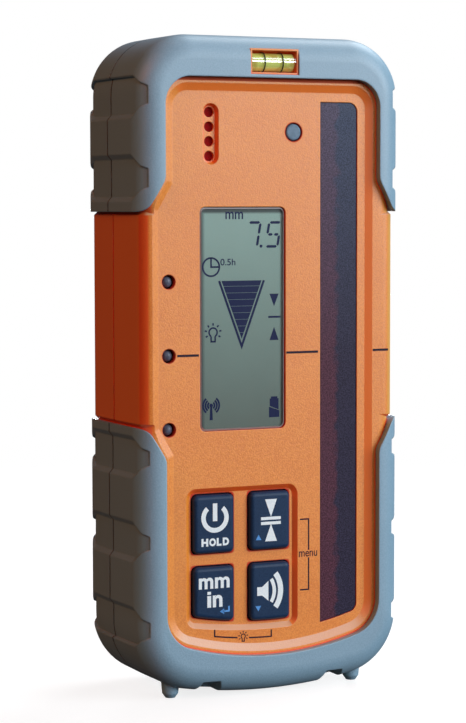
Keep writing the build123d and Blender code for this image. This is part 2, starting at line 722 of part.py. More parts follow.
def make_board_screws():
    """Small screws that hold both boards on the front shell's posts."""
    screws = []
    for places, board_y in ((MAIN_POSTS, MAIN_Y), (DETECTOR_POSTS, DETECTOR_Y)):
        seat = board_y + BOARD_T
        for x, z in places:
            shank = rod_y(x, z, BOARD_SCREW_R, seat - BOARD_SCREW_L, seat)
            screws.append(shank + rod_y(x, z, BOARD_HEAD_R, seat, seat + BOARD_HEAD_T))
    return screws


def make_shell_screws():
    """Long screws that hold the shells together, with a slot in each head."""
    screws = []
    head_y = SCREW_SEAT_Y + SCREW_HEAD_T
    for x, z in SCREW_PLACES:
        shank = rod_y(x, z, SCREW_R, SCREW_TIP_Y, SCREW_SEAT_Y)
        screw = shank + rod_y(x, z, SCREW_HEAD_R, SCREW_SEAT_Y, head_y)
        slot_x = (x - SCREW_HEAD_R, x + SCREW_HEAD_R)
        slot_z = (z - SCREW_SLOT_HALF, z + SCREW_SLOT_HALF)
        screws.append(screw - box(slot_x, (head_y - SCREW_SLOT_DEPTH, head_y), slot_z))
    return screws


def lcd_ranges(side, end):
    """Display opening, grown sideways and at its ends."""
    return (LCD_X0 - side, LCD_X1 + side), (LCD_Z0 - end, LCD_Z1 + end)


def make_display():
    """Cover, glass, frame, backlight and contact strips of the display, from front to back."""
    cover_back = FACE_BACK + LCD_FLANGE_T
    pocket_front = LCD_COVER_FRONT + LCD_COVER_T
    pocket_inset = -FIT - LCD_COVER_RIM
    plate = slab(rectangle(*lcd_ranges(-FIT, -FIT), LCD_R), LCD_COVER_FRONT, FACE_BACK)
    plate = chamfer(plate.faces().sort_by(Axis.Y)[0].edges(), LCD_COVER_EDGE)
    flange = rectangle(*lcd_ranges(LCD_COVER_FLANGE, LCD_COVER_FLANGE), LCD_R)
    pocket = rectangle(*lcd_ranges(pocket_inset, pocket_inset), LCD_R - LCD_COVER_RIM)
    cover = plate + slab(flange, FACE_BACK, cover_back) - slab(pocket, pocket_front, cover_back)
    glass_x, glass_z = lcd_ranges(LCD_GLASS_SIDE, LCD_GLASS_END)
    glass_back = cover_back + LCD_GLASS_T
    front_inset = pocket_inset - LCD_PLAY
    front_glass = rectangle(*lcd_ranges(front_inset, front_inset), LCD_R - LCD_COVER_RIM)
    glass = box(glass_x, (cover_back, glass_back), glass_z)
    glass += slab(front_glass, pocket_front + LCD_PLAY, cover_back)
    frame_side = LCD_GLASS_SIDE + LCD_FRAME_WALL
    frame_end = LCD_GLASS_END + LCD_FRAME_WALL
    frame = rectangle(*lcd_ranges(frame_side, frame_end)) - rectangle(glass_x, glass_z)
    light_z = (glass_z[0] + ZEBRA_W + FIT, glass_z[1] - ZEBRA_W - FIT)
    strips = [(glass_z[0], glass_z[0] + ZEBRA_W), (glass_z[1] - ZEBRA_W, glass_z[1])]
    return {
        "lcd_window": cover,
        "lcd_panel": glass,
        "lcd_frame": slab(frame, cover_back, MAIN_Y),
        "lcd_backlight": box(glass_x, (glass_back, glass_back + BACKLIGHT_T), light_z),
        "lcd_connectors": [box(glass_x, (glass_back, MAIN_Y), z_range) for z_range in strips],
    }


def make_led(step):
    """Domed lamp that stands on the main board and looks out of its hole."""
    z = GRADE_Z + step * LED_PITCH
    stem = rod_y(LED_X, z, LED_R, LED_FRONT + LED_R, MAIN_Y)
    return stem + Pos(LED_X, LED_FRONT + LED_R, z) * Sphere(LED_R)


def make_light_sensor():
    """Round sensor lens with a retaining flange behind the face."""
    lens = rod_y(SENSOR_X, SENSOR_Z, SENSOR_R, FACE_Y, MAIN_Y)
    lens = fillet(lens.edges().sort_by(Axis.Y)[0], SENSOR_EDGE_R)
    return lens + rod_y(SENSOR_X, SENSOR_Z, SENSOR_FLANGE_R, FACE_BACK, FACE_BACK + SENSOR_FLANGE_T)


def make_buzzer():
    """Buzzer on the main board, behind the speaker slot."""
    return rod_y(SPEAKER_X, SPEAKER_Z, BUZZER_R, FACE_BACK + BUZZER_AIR, MAIN_Y)


def make_buzzer_membrane():
    """Thin skin that keeps water out of the speaker holes."""
    skin = Pos(SPEAKER_X, SPEAKER_Z) * SlotOverall(MEMBRANE_L, MEMBRANE_W, rotation=90)
    return slab(skin, FACE_BACK, FACE_BACK + MEMBRANE_T)


def make_key(column, is_upper):
    """Key cap with a flange behind the face and a stem over its switch."""
    cap = slab(key_outline(column, is_upper, 0), KEY_FRONT, KEY_FLANGE_FRONT)
    cap = fillet(cap.faces().sort_by(Axis.Y)[0].edges(), KEY_EDGE_R)
    flange_back = KEY_FLANGE_FRONT + KEY_FLANGE_T
    cap += slab(key_outline(column, is_upper, KEY_FLANGE), KEY_FLANGE_FRONT, flange_back)
    return cap + rod_y(*key_middle(column, is_upper), KEY_STEM_R, flange_back, flange_back + KEY_STEM_L)


def make_keypad_seal():
    """Rubber sheet on the rib round the key field, with a hole for each stem."""
    seal = slab(field_outline(-SEAL_MARGIN), SEAL_Y, SEAL_Y + SEAL_T)
    for column, is_upper in KEYS.values():
        seal -= rod_y(*key_middle(column, is_upper), SEAL_HOLE_R, SEAL_Y, SEAL_Y + SEAL_T)
    return seal


def make_key_switches():
    """Push switches on the main board, one behind each key."""
    switches = []
    half = SWITCH_W / 2
    for column, is_upper in KEYS.values():
        x, z = key_middle(column, is_upper)
        case = box((x - half, x + half), (MAIN_Y - SWITCH_H, MAIN_Y), (z - half, z + half))
        button_front = MAIN_Y - SWITCH_H - SWITCH_BUTTON_H
        switches.append(case + rod_y(x, z, SWITCH_BUTTON_R, button_front, MAIN_Y - SWITCH_H))
    return switches


def make_vial():
    """Spirit vial: clear tube, liquid with its bubble, and two marking rings."""
    liquid = rod_x(VIAL_Y, VIAL_Z, VIAL_LIQUID_R, VIAL_LIQUID_HALF)
    tube = rod_x(VIAL_Y, VIAL_Z, VIAL_R, VIAL_HALF) - rod_x(VIAL_Y, VIAL_Z, VIAL_BORE_R, VIAL_LIQUID_HALF)
    bubble_z = VIAL_Z + BUBBLE_LIFT
    bubble = rod_x(VIAL_Y, bubble_z, BUBBLE_R, BUBBLE_HALF)
    for side in (-1, 1):
        bubble += Pos(side * BUBBLE_HALF, VIAL_Y, bubble_z) * Sphere(BUBBLE_R)
    ring = rod_x(VIAL_Y, VIAL_Z, VIAL_R + RING_T, RING_W / 2) - rod_x(VIAL_Y, VIAL_Z, VIAL_R, RING_W / 2)
    return {
        "vial_tube": tube,
        "vial_liquid": liquid - bubble,
        "vial_rings": [Pos(side * RING_X, 0, 0) * ring for side in (-1, 1)],
    }


def make_cells():
    """Two round cells, side by side, the right one upside down."""
    nub = Pos(0, 0, (CELL_L + CELL_NUB_L) / 2) * Cylinder(CELL_NUB_R, CELL_NUB_L)
    upright = Cylinder(CELL_R, CELL_L) + nub
    nub_end = CELL_L / 2 + CELL_NUB_L
    high = Pos(-CELL_X, CELL_Y, TUB_Z1 - CONTACT_T - nub_end) * upright
    low = Pos(CELL_X, CELL_Y, TUB_Z0 + CONTACT_T + nub_end) * (Rot(180, 0, 0) * upright)
    return [high, low]


def make_contacts():
    """Contact plates at both ends of the tub, each with a bent leaf for a cell's flat end."""
    gap = TUB_Z1 - TUB_Z0 - 2 * CONTACT_T - CELL_L - CELL_NUB_L
    half_leaf = LEAF_W / 2
    pieces = []
    for end, way, leaf_x in ((TUB_Z0, 1, -CELL_X), (TUB_Z1, -1, CELL_X)):
        plate_half = CELL_X + CONTACT_HALF
        plate_z = sorted((end, end + way * CONTACT_T))
        y_range = (CELL_Y - CONTACT_DEPTH / 2, CELL_Y + CONTACT_DEPTH / 2)
        plate = box((-plate_half, plate_half), y_range, plate_z)
        foot = end + way * CONTACT_T
        inner = half_leaf - LEAF_FOOT
        profile = [(-half_leaf, foot), (0, foot + way * gap), (half_leaf, foot)]
        profile += [(inner, foot), (0, foot + way * (gap - LEAF_T)), (-inner, foot)]
        leaf = slab(Pos(leaf_x, 0) * Polygon(*profile, align=None), *y_range)
        pieces.append(plate + leaf)
    return pieces


def make_door():
    """Battery door: a leaf with a hinge barrel along its foot and a seat for the latch."""
    leaf = rectangle((-DOOR_HALF, DOOR_HALF), (HINGE_Z, DOOR_TOP))
    leaf = fillet(leaf.vertices().sort_by(Axis.Y)[2:], DOOR_R - DOOR_GAP)
    door = slab(leaf, REAR_Y - DOOR_T, REAR_Y) + rod_x(HINGE_Y, HINGE_Z, HINGE_R, DOOR_HALF)
    door -= rod_x(HINGE_Y, HINGE_Z, HINGE_PIN_R + HINGE_PLAY, DOOR_HALF)
    door -= rod_y(0, LATCH_Z, LATCH_R + LATCH_PLAY, REAR_Y - LATCH_T - LATCH_PLAY, REAR_Y)
    return door - rod_y(0, LATCH_Z, LATCH_SHAFT_R + LATCH_PLAY, REAR_Y - DOOR_T, REAR_Y)


def make_door_seal():
    """Rubber ring on the inside of the door."""
    outer = rectangle((-SEAL_RING_HALF, SEAL_RING_HALF), SEAL_RING_Z, DOOR_R)
    inner_half = SEAL_RING_HALF - SEAL_RING_W
    inner_z = (SEAL_RING_Z[0] + SEAL_RING_W, SEAL_RING_Z[1] - SEAL_RING_W)
    inner = rectangle((-inner_half, inner_half), inner_z)
    return slab(outer - inner, LEDGE_Y + DOOR_GAP, REAR_Y - DOOR_T)


def make_latch():
    """Coin-slotted disc whose tongue turns behind the ledge."""
    latch = rod_y(0, LATCH_Z, LATCH_R, REAR_Y - LATCH_T, REAR_Y)
    latch += rod_y(0, LATCH_Z, LATCH_SHAFT_R, LATCH_TONGUE_Y[0], REAR_Y - LATCH_T)
    half_l = LATCH_TONGUE_L / 2
    half_w = LATCH_TONGUE_W / 2
    latch += box((-half_l, half_l), LATCH_TONGUE_Y, (LATCH_Z - half_w, LATCH_Z + half_w))
    half_slot = LATCH_SLOT_L / 2
    slot_z = (LATCH_Z - LATCH_SLOT_W / 2, LATCH_Z + LATCH_SLOT_W / 2)
    return latch - box((-half_slot, half_slot), (REAR_Y - LATCH_SLOT_DEPTH, REAR_Y), slot_z)


def make_clamp_insert():
    """Brass insert for the staff clamp's screw."""
    body = rod_y(0, CLAMP_Z, INSERT_R, INSERT_BACK, REAR_Y)
    return body - rod_y(0, CLAMP_Z, CLAMP_BORE_R, REAR_Y - CLAMP_BORE_L, REAR_Y)


def make_clamp_dowels():
    """Two bushes that take the staff clamp's locating pins."""
    bushes = []
    for side in (-1, 1):
        bush = rod_y(side * DOWEL_X, CLAMP_Z, DOWEL_BUSH_R, DOWEL_BUSH_BACK, REAR_Y)
        bushes.append(bush - rod_y(side * DOWEL_X, CLAMP_Z, DOWEL_BORE_R, REAR_Y - DOWEL_BORE_L, REAR_Y))
    return bushes


def make_nodes():
    """Every piece of the object, by node name."""
    block = shell_block()
    hollow = cavity()
    feet = make_feet(block)
    nodes = {
        "front_shell": make_front_shell(block, hollow),
        "rear_shell": make_rear_shell(block, hollow),
        "feet": feet,
        "shell_gasket": gasket_ring(),
        "receiver_window": make_window(),
        "window_gasket": make_window_gasket(),
        "optical_filter": make_filter(),
        "detector_board": make_detector_board(),
        "photodiodes": make_photodiodes(),
        "main_board": make_main_board(),
        "light_sensor": make_light_sensor(),
        "buzzer": make_buzzer(),
        "buzzer_membrane": make_buzzer_membrane(),
        "keypad_seal": make_keypad_seal(),
        "key_switches": make_key_switches(),
        "battery_cells": make_cells(),
        "battery_contacts": make_contacts(),
        "battery_door": make_door(),
        "door_seal": make_door_seal(),
        "door_hinge_pin": rod_x(HINGE_Y, HINGE_Z, HINGE_PIN_R, HINGE_PIN_HALF),
        "door_latch": make_latch(),
        "clamp_insert": make_clamp_insert(),
        "clamp_dowels": make_clamp_dowels(),
        "shell_screws": make_shell_screws(),
        "board_screws": make_board_screws(),
    }
    nodes.update(make_bumpers(block, feet))
    nodes.update(make_display())
    nodes.update(make_vial())
    nodes.update({name: make_led(step) for name, step in LED_NODES.items()})
    nodes.update({name: make_key(*place) for name, place in KEYS.items()})
    return nodes


def solids_of(shape):
    """All solids of a node, whether it is one shape or a group, set down on the pegs' tips."""
    shapes = shape if isinstance(shape, list) else [shape]
    return [Pos(0, 0, -STAND_Z) * solid for item in shapes for solid in item.solids()]


os.makedirs("parts", exist_ok=True)
for name, shape in make_nodes().items():
    solids = solids_of(shape)
    export_step(solids[0] if len(solids) == 1 else Compound(children=solids), f"parts/{name}.step")
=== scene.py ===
"""Looks of a hand-held laser receiver: materials, display, printed signs, stage, light and camera."""
import json
from math import cos, radians, sin

import bmesh
import bpy
from mathutils import Matrix, Vector

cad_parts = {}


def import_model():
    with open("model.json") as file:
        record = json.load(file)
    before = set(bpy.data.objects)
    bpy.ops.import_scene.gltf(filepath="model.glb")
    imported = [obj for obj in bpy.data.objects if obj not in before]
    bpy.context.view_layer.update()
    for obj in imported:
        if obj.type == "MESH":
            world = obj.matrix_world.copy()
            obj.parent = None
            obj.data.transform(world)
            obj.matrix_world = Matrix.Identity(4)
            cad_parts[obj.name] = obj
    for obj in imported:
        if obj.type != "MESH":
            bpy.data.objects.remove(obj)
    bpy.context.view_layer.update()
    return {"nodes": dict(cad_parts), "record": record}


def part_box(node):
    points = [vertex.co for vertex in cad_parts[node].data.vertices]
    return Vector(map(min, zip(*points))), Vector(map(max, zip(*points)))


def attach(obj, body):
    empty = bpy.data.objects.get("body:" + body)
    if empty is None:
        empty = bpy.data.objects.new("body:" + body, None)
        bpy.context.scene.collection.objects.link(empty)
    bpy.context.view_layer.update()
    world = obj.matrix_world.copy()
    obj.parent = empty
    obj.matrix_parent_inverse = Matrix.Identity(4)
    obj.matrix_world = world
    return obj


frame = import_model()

NODES = frame["nodes"]
MM = 0.001

# Camera: place in metres, direction and roll, and lens and sensor in millimetres
CAMERA_AT = Vector((-0.2454, -0.5241, 0.1242))
CAMERA_LOOK = Vector((0.4181, 0.9057, -0.0698))
CAMERA_ROLL = radians(-0.1)
LENS = 111.4
SENSOR = 36.0

# Stage: places and sizes in metres, and colours
AIM = Vector((0.0, 0.0, 0.085))
FLOOR_Z = -0.00005
FLOOR_R = 0.5
FLOOR_SOLID_R = 0.2
FLOOR_SIDES = 96
BACKDROP = (1.0, 1.0, 1.0)
WORLD_FILL = (0.043, 0.036, 0.034)

# Planes that carry prints, the display's hidden edge, how far a print stands out of its plane and reaches
# into it, and how close its points merge, in millimetres, and the steps of an arc
FACE_Y = -15.3
RIM_Y = -16.0
DISPLAY_LIP = 1.75
PROUD = 0.03
SUNK = 0.01
MERGE = 0.0005
ARC_STEPS = 28

# Colours, as linear red, green and blue
ORANGE = (0.97, 0.306, 0.030)
ORANGE_DEEP = (0.84, 0.214, 0.012)
# Painted red shade on slopes that lean left or down
ORANGE_SHADE = (0.97, 0.118, 0.010)
# Painted red shade on the front's bevels
ORANGE_BEVEL_SHADE = (1.0, 0.205, 0.014)
# Painted pale sheen on slopes that look up
ORANGE_CREST_SHEEN = (0.80, 0.355, 0.165)
# Painted red shade on the left side
ORANGE_LEFT_SHADE = (1.0, 0.262, 0.030)
# Painted shadow of the top bumper on the ledge under it
ORANGE_LEDGE_SHADOW = (0.50, 0.055, 0.008)
# Painted red shade round the keys and lamps
ORANGE_RIM_SHADE = (0.62, 0.026, 0.002)
# Painted pale highlight on the right edge of the waist
ORANGE_EDGE_HIGHLIGHT = (0.84, 0.41, 0.10)
# Painted red shade beside walls
ORANGE_GAP_SHADE = (1.0, 0.075, 0.006)
GREY = (0.275, 0.422, 0.535)
GREY_DEEP = (0.233, 0.372, 0.478)
# Painted shade tint on the grey's left side
GREY_LEFT_SHADE = (0.228, 0.440, 0.530)
GREY_SEAM = (0.045, 0.060, 0.070)
NAVY = (0.0135, 0.040, 0.100)
NAVY_DEEP = (0.010, 0.031, 0.080)
WINDOW_BROWN = (0.094, 0.0325, 0.052)
WINDOW_BLUE = (0.033, 0.027, 0.053)
# Painted sheen on the window's top
WINDOW_SHEEN = (0.075, 0.114, 0.190)
# Painted sheen at the display's top
DISPLAY_SHEEN_TOP = (0.385, 0.520, 0.467)
DISPLAY_FOOT = (0.147, 0.166, 0.143)
# Painted shadow under the display's top edge, also used for the dark strip at its left
DISPLAY_SHADE = (0.050, 0.055, 0.055)
FLUID = (0.82, 0.92, 0.28)
# Painted patches of the orange pocket seen through the fluid
FLUID_REFRACTED_ORANGE = (0.58, 0.40, 0.08)
# Painted glow that brightens the fluid in its shaded pocket
FLUID_PAINTED_GLOW = 0.20
SIGN_WHITE = (0.97, 1.0, 1.0)
SIGN_BLUE = (0.14, 0.39, 0.84)
SIGN_DARK = (0.014, 0.008, 0.022)
SEGMENT = (0.010, 0.016, 0.085)
DISPLAY_FLECK = (0.24, 0.33, 0.28)
SIGN_WHITE_DEEP = (0.88, 0.94, 0.97)
SIGN_BLUE_DEEP = (0.08, 0.27, 0.64)
FLOOR_LIGHT = (0.32, 0.32, 0.32)
FLOOR_DEEP = (0.28, 0.28, 0.28)
FLOOR_GLOW = 0.8

# Where the paints of the orange and the grey lie, in millimetres: the painted shadow on the ledge under the
# top bumper, where the painted bevel shade and the painted right-edge highlight begin, how far a wall casts
# painted red shade beside it, half the joint line's width, and how far behind a plane a paint ends and is
# full
LEDGE_SHADOW_Z = (154.85, 156.6)
LEDGE_SHADOW_FADE = 0.2
LEDGE_SHADOW_BEHIND = (1.0, 0.5)
BEVEL_FROM_X = -30.0
BEVEL_FADE = 2.0
EDGE_FROM_X = 27.0
EDGE_FADE = 1.0
EDGE_BEHIND = (4.0, 3.0)
RIM_BEHIND = (6.0, 5.0)
GAP_REACH = 1.0
SEAM_HALF = 0.45

# How much rougher the painted ledge shadow and the painted rims round the keys and lamps are, and how strong
# the paint of the joint line is
SHADED_DULL = 0.5
SEAM_STRENGTH = 0.85

# How far a normal is turned where a paint begins and is full, or is still full and ends. A gap counts how
# open a point is, and a rounded edge how far its normal stays with the flat one.
SLOPE_BEGINS = (0.38, 0.54)
SLOPE_ENDS = (0.99, 0.93)
BEVEL_BEGINS = (0.26, 0.31)
CREST_BEGINS = (0.20, 0.30)
CREST_ENDS = (0.90, 0.80)
EDGE_BEGINS = (0.30, 0.60)
EDGE_ENDS = (0.96, 0.80)
ORANGE_LEFT_SHADE_BEGINS = (-0.93, -0.985)
GREY_LEFT_SHADE_BEGINS = (-0.55, -0.85)
GAP_BEGINS = (0.84, 0.62)
ROUNDED_BEGINS = (0.985, 0.80)

# Moulded surfaces: how many grains a flow cloud spans, the parts of grain and cloud in the tone, the range
# of tones between the two colours, and how far the roughness strays
CLOUD_SPAN = 40.0
GRAIN_PART = 0.85
CLOUD_PART = 0.25
TONE_RANGE = (0.43, 0.67)
ROUGH_STRAY = 0.06


def feed(tree, socket, value):
    """Links a socket to another one, or sets it to a constant."""
    if isinstance(value, bpy.types.NodeSocket):
        tree.links.new(value, socket)
    else:
        socket.default_value = value


def node(tree, kind, inputs=None, **settings):
    """Adds a shader node with the given settings and inputs."""
    made = tree.nodes.new("ShaderNode" + kind)
    for key, value in settings.items():
        setattr(made, key, value)
    for key, value in (inputs or {}).items():
        feed(tree, made.inputs[key], value)
    return made


def rgba(colour):
    """Colour with full opacity."""
    return (*colour, 1.0)


def blank(name):
    """New material with an empty surface."""
    material = bpy.data.materials.new(name)
    material.use_nodes = True
    material.node_tree.nodes.clear()
    return material, material.node_tree, node(material.node_tree, "OutputMaterial")


def principled(name, **constants):
    """New material with one Principled shader; constants are named as its sockets, with _ for spaces."""
    material, tree, output = blank(name)
    inputs = {key.replace("_", " "): value for key, value in constants.items()}
    shader = node(tree, "BsdfPrincipled", inputs)
    feed(tree, output.inputs["Surface"], shader.outputs[0])
    return material, tree, shader


def place_of(tree):
    """Coordinates that stay with the piece, in metres."""
    return node(tree, "TexCoord").outputs["Object"]


def noise(tree, place, scale, detail=2.0, rough=0.5):
    """Cloudy pattern of the given number of spots per metre."""
    made = node(tree, "TexNoise", {"Vector": place, "Scale": scale, "Detail": detail, "Roughness": rough})
    return made.outputs[0]


def remap(tree, value, low, high, to_low=0.0, to_high=1.0):
    """Stretches a value from one range to another, held at the ends."""
    made = node(tree, "MapRange", {0: value, 1: low, 2: high, 3: to_low, 4: to_high})
    return made.outputs[0]


def math(tree, operation, first, second):
    """Arithmetic on two values."""
    return node(tree, "Math", {0: first, 1: second}, operation=operation).outputs[0]


def blend(tree, share, first, second):
    """Mixes two colours."""
    made = node(tree, "Mix", {0: share, 6: first, 7: second}, data_type="RGBA")
    return made.outputs[2]


def along(tree, place, axis):
    """One coordinate of a place."""
    return node(tree, "SeparateXYZ", {0: place}).outputs["XYZ".index(axis)]


def soft_edges(tree, radius):
    """Normal that rounds sharp edges, with the radius in millimetres."""
    return node(tree, "Bevel", {"Radius": radius * MM}, samples=6).outputs[0]


def edge_share(tree, rounded):
    """How much a point lies on a rounded edge, from 0 to 1."""
    flat = node(tree, "NewGeometry").outputs["Normal"]
    turn = node(tree, "VectorMath", {0: rounded, 1: flat}, operation="DOT_PRODUCT").outputs["Value"]
    return remap(tree, turn, *ROUNDED_BEGINS)


def bump(tree, height, depth, normal):
    """Relief of the given depth in millimetres."""
    inputs = {"Strength": 1.0, "Distance": depth * MM, "Height": height, "Normal": normal}
    return node(tree, "Bump", inputs).outputs[0]


def before(tree, place, plane, behind):
    """How much a point lies before the end of a paint that reaches behind a plane, from 0 to 1."""
    ends, full = behind
    return remap(tree, along(tree, place, "Y"), (plane + ends) * MM, (plane + full) * MM)


def lean_of(tree, normal):
    """How much a surface leans to the left or downwards, from 0 to 1."""
    away = node(tree, "VectorMath", {0: normal, 1: (0.0, 0.0, 0.0)}, operation="MINIMUM").outputs[0]
    flat = node(tree, "VectorMath", {0: away, 1: (1.0, 0.0, 1.0)}, operation="MULTIPLY").outputs[0]
    return node(tree, "VectorMath", {0: flat}, operation="LENGTH").outputs["Value"]


def slope_shade_share(tree, lean):
    """How much a point lies on a steep slope to the left or the underside, where red shade is painted, from
    0 to 1.
    """
    return math(tree, "MULTIPLY", remap(tree, lean, *SLOPE_BEGINS), remap(tree, lean, *SLOPE_ENDS))


def bevel_shade_share(tree, lean, place):
    """How much a point lies on the bevels of the front that get painted red shade, from 0 to 1."""
    inward = remap(tree, along(tree, place, "X"), BEVEL_FROM_X * MM, (BEVEL_FROM_X + BEVEL_FADE) * MM)
    return math(tree, "MULTIPLY", remap(tree, lean, *BEVEL_BEGINS), inward)


def crest_sheen_share(tree, normal):
    """How much a point lies on a slope that looks up, where a pale sheen is painted, from 0 to 1."""
    upward = along(tree, normal, "Z")
    return math(tree, "MULTIPLY", remap(tree, upward, *CREST_BEGINS), remap(tree, upward, *CREST_ENDS))


def waist_share(tree, place):
    """How much a point lies between the two bumpers, from 0 to 1."""
    height = along(tree, place, "Z")
    foot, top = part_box("bottom_bumper_front")[1].z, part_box("top_bumper_front")[0].z
    return math(tree, "MULTIPLY", remap(tree, height, foot - MM, foot), remap(tree, height, top + MM, top))


def right_highlight_share(tree, place, normal):
    """How much a point lies on the rounded right edge of the front, where a pale highlight is painted, from
    0 to 1.
    """
    turned = along(tree, normal, "X")
    aside = math(tree, "MULTIPLY", remap(tree, turned, *EDGE_BEGINS), remap(tree, turned, *EDGE_ENDS))
    beyond = remap(tree, along(tree, place, "X"), EDGE_FROM_X * MM, (EDGE_FROM_X + EDGE_FADE) * MM)
    front = before(tree, place, RIM_Y, EDGE_BEHIND)
    return math(tree, "MULTIPLY", math(tree, "MULTIPLY", aside, beyond), front)


def gap_shade_share(tree):
    """How much a point lies close to a wall, where red shade is painted, from 0 to 1."""
    clear = node(tree, "AmbientOcclusion", {"Distance": GAP_REACH * MM}, samples=8).outputs["AO"]
    return remap(tree, clear, *GAP_BEGINS)


def ledge_shadow_share(tree, place):
    """How much a point lies on the ledge under the top bumper, where the bumper's shadow is painted, from 0
    to 1.
    """
    height = along(tree, place, "Z")
    foot, top = (level * MM for level in LEDGE_SHADOW_Z)
    over = remap(tree, height, foot, foot + LEDGE_SHADOW_FADE * MM)
    under = remap(tree, height, top, top - LEDGE_SHADOW_FADE * MM)
    inside = math(tree, "MULTIPLY", over, under)
    return math(tree, "MULTIPLY", inside, before(tree, place, RIM_Y, LEDGE_SHADOW_BEHIND))


# Painted red shade round the keys and the lamps, in millimetres: how far it reaches past an outline, full
# and faded, the rounding of its corners, the keys' hidden flanges, the arc under the lower keys, and the
# radii of what is round
RIM_FULL = 0.32
RIM_END = 0.58
RIM_ROUNDING = 1.5
KEY_FLANGE = 1.0
KEY_ARC_R = 105.0
UPPER_KEYS = ("power_key", "grade_key")
LOWER_KEYS = ("units_key", "sound_key")
ROUND_R = {"led_low": 1.45, "led_on_grade": 1.45, "led_high": 1.45, "light_sensor": 2.1}


def key_reach(tree, x, z, name):
    """How far a point lies outside a key's outline, in metres."""
    flange = Vector((KEY_FLANGE, KEY_FLANGE, KEY_FLANGE)) * MM
    low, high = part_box(name)
    low, high = low + flange, high - flange
    foot = low.z
    if name in LOWER_KEYS:
        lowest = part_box("sound_key")[0].z + flange.z
        rise = math(tree, "MULTIPLY", math(tree, "POWER", x, 2.0), 0.5 / (KEY_ARC_R * MM))
        foot = math(tree, "ADD", rise, lowest)
    across = math(tree, "ABSOLUTE", math(tree, "SUBTRACT", x, (low.x + high.x) / 2.0), 0.0)
    beside = math(tree, "SUBTRACT", across, (high.x - low.x) / 2.0)
    upright = math(tree, "MAXIMUM", math(tree, "SUBTRACT", z, high.z), math(tree, "SUBTRACT", foot, z))
    rounded = node(tree, "Math", {0: beside, 1: upright, 2: RIM_ROUNDING * MM}, operation="SMOOTH_MAX")
    return rounded.outputs[0]


def round_reach(tree, place, name, radius):
    """How far a point lies outside a round piece's outline, in metres."""
    low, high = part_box(name)
    offset = node(tree, "VectorMath", {0: place, 1: (low + high) / 2.0}, operation="SUBTRACT").outputs[0]
    flat = node(tree, "VectorMath", {0: offset, 1: (1.0, 0.0, 1.0)}, operation="MULTIPLY").outputs[0]
    away = node(tree, "VectorMath", {0: flat}, operation="LENGTH").outputs["Value"]
    return math(tree, "SUBTRACT", away, radius * MM)


def rim_shade_share(tree, place):
    """How much a point of the front lies in the painted red shade round a key or a lamp, from 0 to 1."""
    x, z = along(tree, place, "X"), along(tree, place, "Z")
    reaches = [key_reach(tree, x, z, name) for name in UPPER_KEYS + LOWER_KEYS]
    reaches += [round_reach(tree, place, name, radius) for name, radius in ROUND_R.items()]
    nearest = reaches[0]
    for reach in reaches[1:]:
        nearest = math(tree, "MINIMUM", nearest, reach)
    around = remap(tree, nearest, RIM_END * MM, RIM_FULL * MM)
    return math(tree, "MULTIPLY", around, before(tree, place, FACE_Y, RIM_BEHIND))


def moulded(name, light, deep, rough, grain, depth, edge_r, edge_highlight, **constants):
    """Moulded plastic or rubber: fine grain, faint flow clouds and rounded edges with a slight painted
    highlight.

    The grain is in spots per metre, and its depth and the edges' radius are in millimetres.
    """
    material, tree, shader = principled(name, **constants)
    place = place_of(tree)
    fine = noise(tree, place, grain, 2.0, 0.6)
    cloud = noise(tree, place, grain / CLOUD_SPAN, 3.0)
    rounded = soft_edges(tree, edge_r)
    grains, clouds = math(tree, "MULTIPLY", fine, GRAIN_PART), math(tree, "MULTIPLY", cloud, CLOUD_PART)
    tone = remap(tree, math(tree, "ADD", grains, clouds), *TONE_RANGE)
    body = blend(tree, tone, rgba(deep), rgba(light))
    # Painted highlight on rounded edges
    pale = rgba([channel + (1.0 - channel) * edge_highlight for channel in light])
    feed(tree, shader.inputs["Base Color"], blend(tree, edge_share(tree, rounded), body, pale))
    stray = remap(tree, fine, 0.3, 0.7, rough - ROUGH_STRAY, rough + ROUGH_STRAY)
    feed(tree, shader.inputs["Roughness"], stray)
    feed(tree, shader.inputs["Normal"], bump(tree, fine, depth, rounded))
    return material


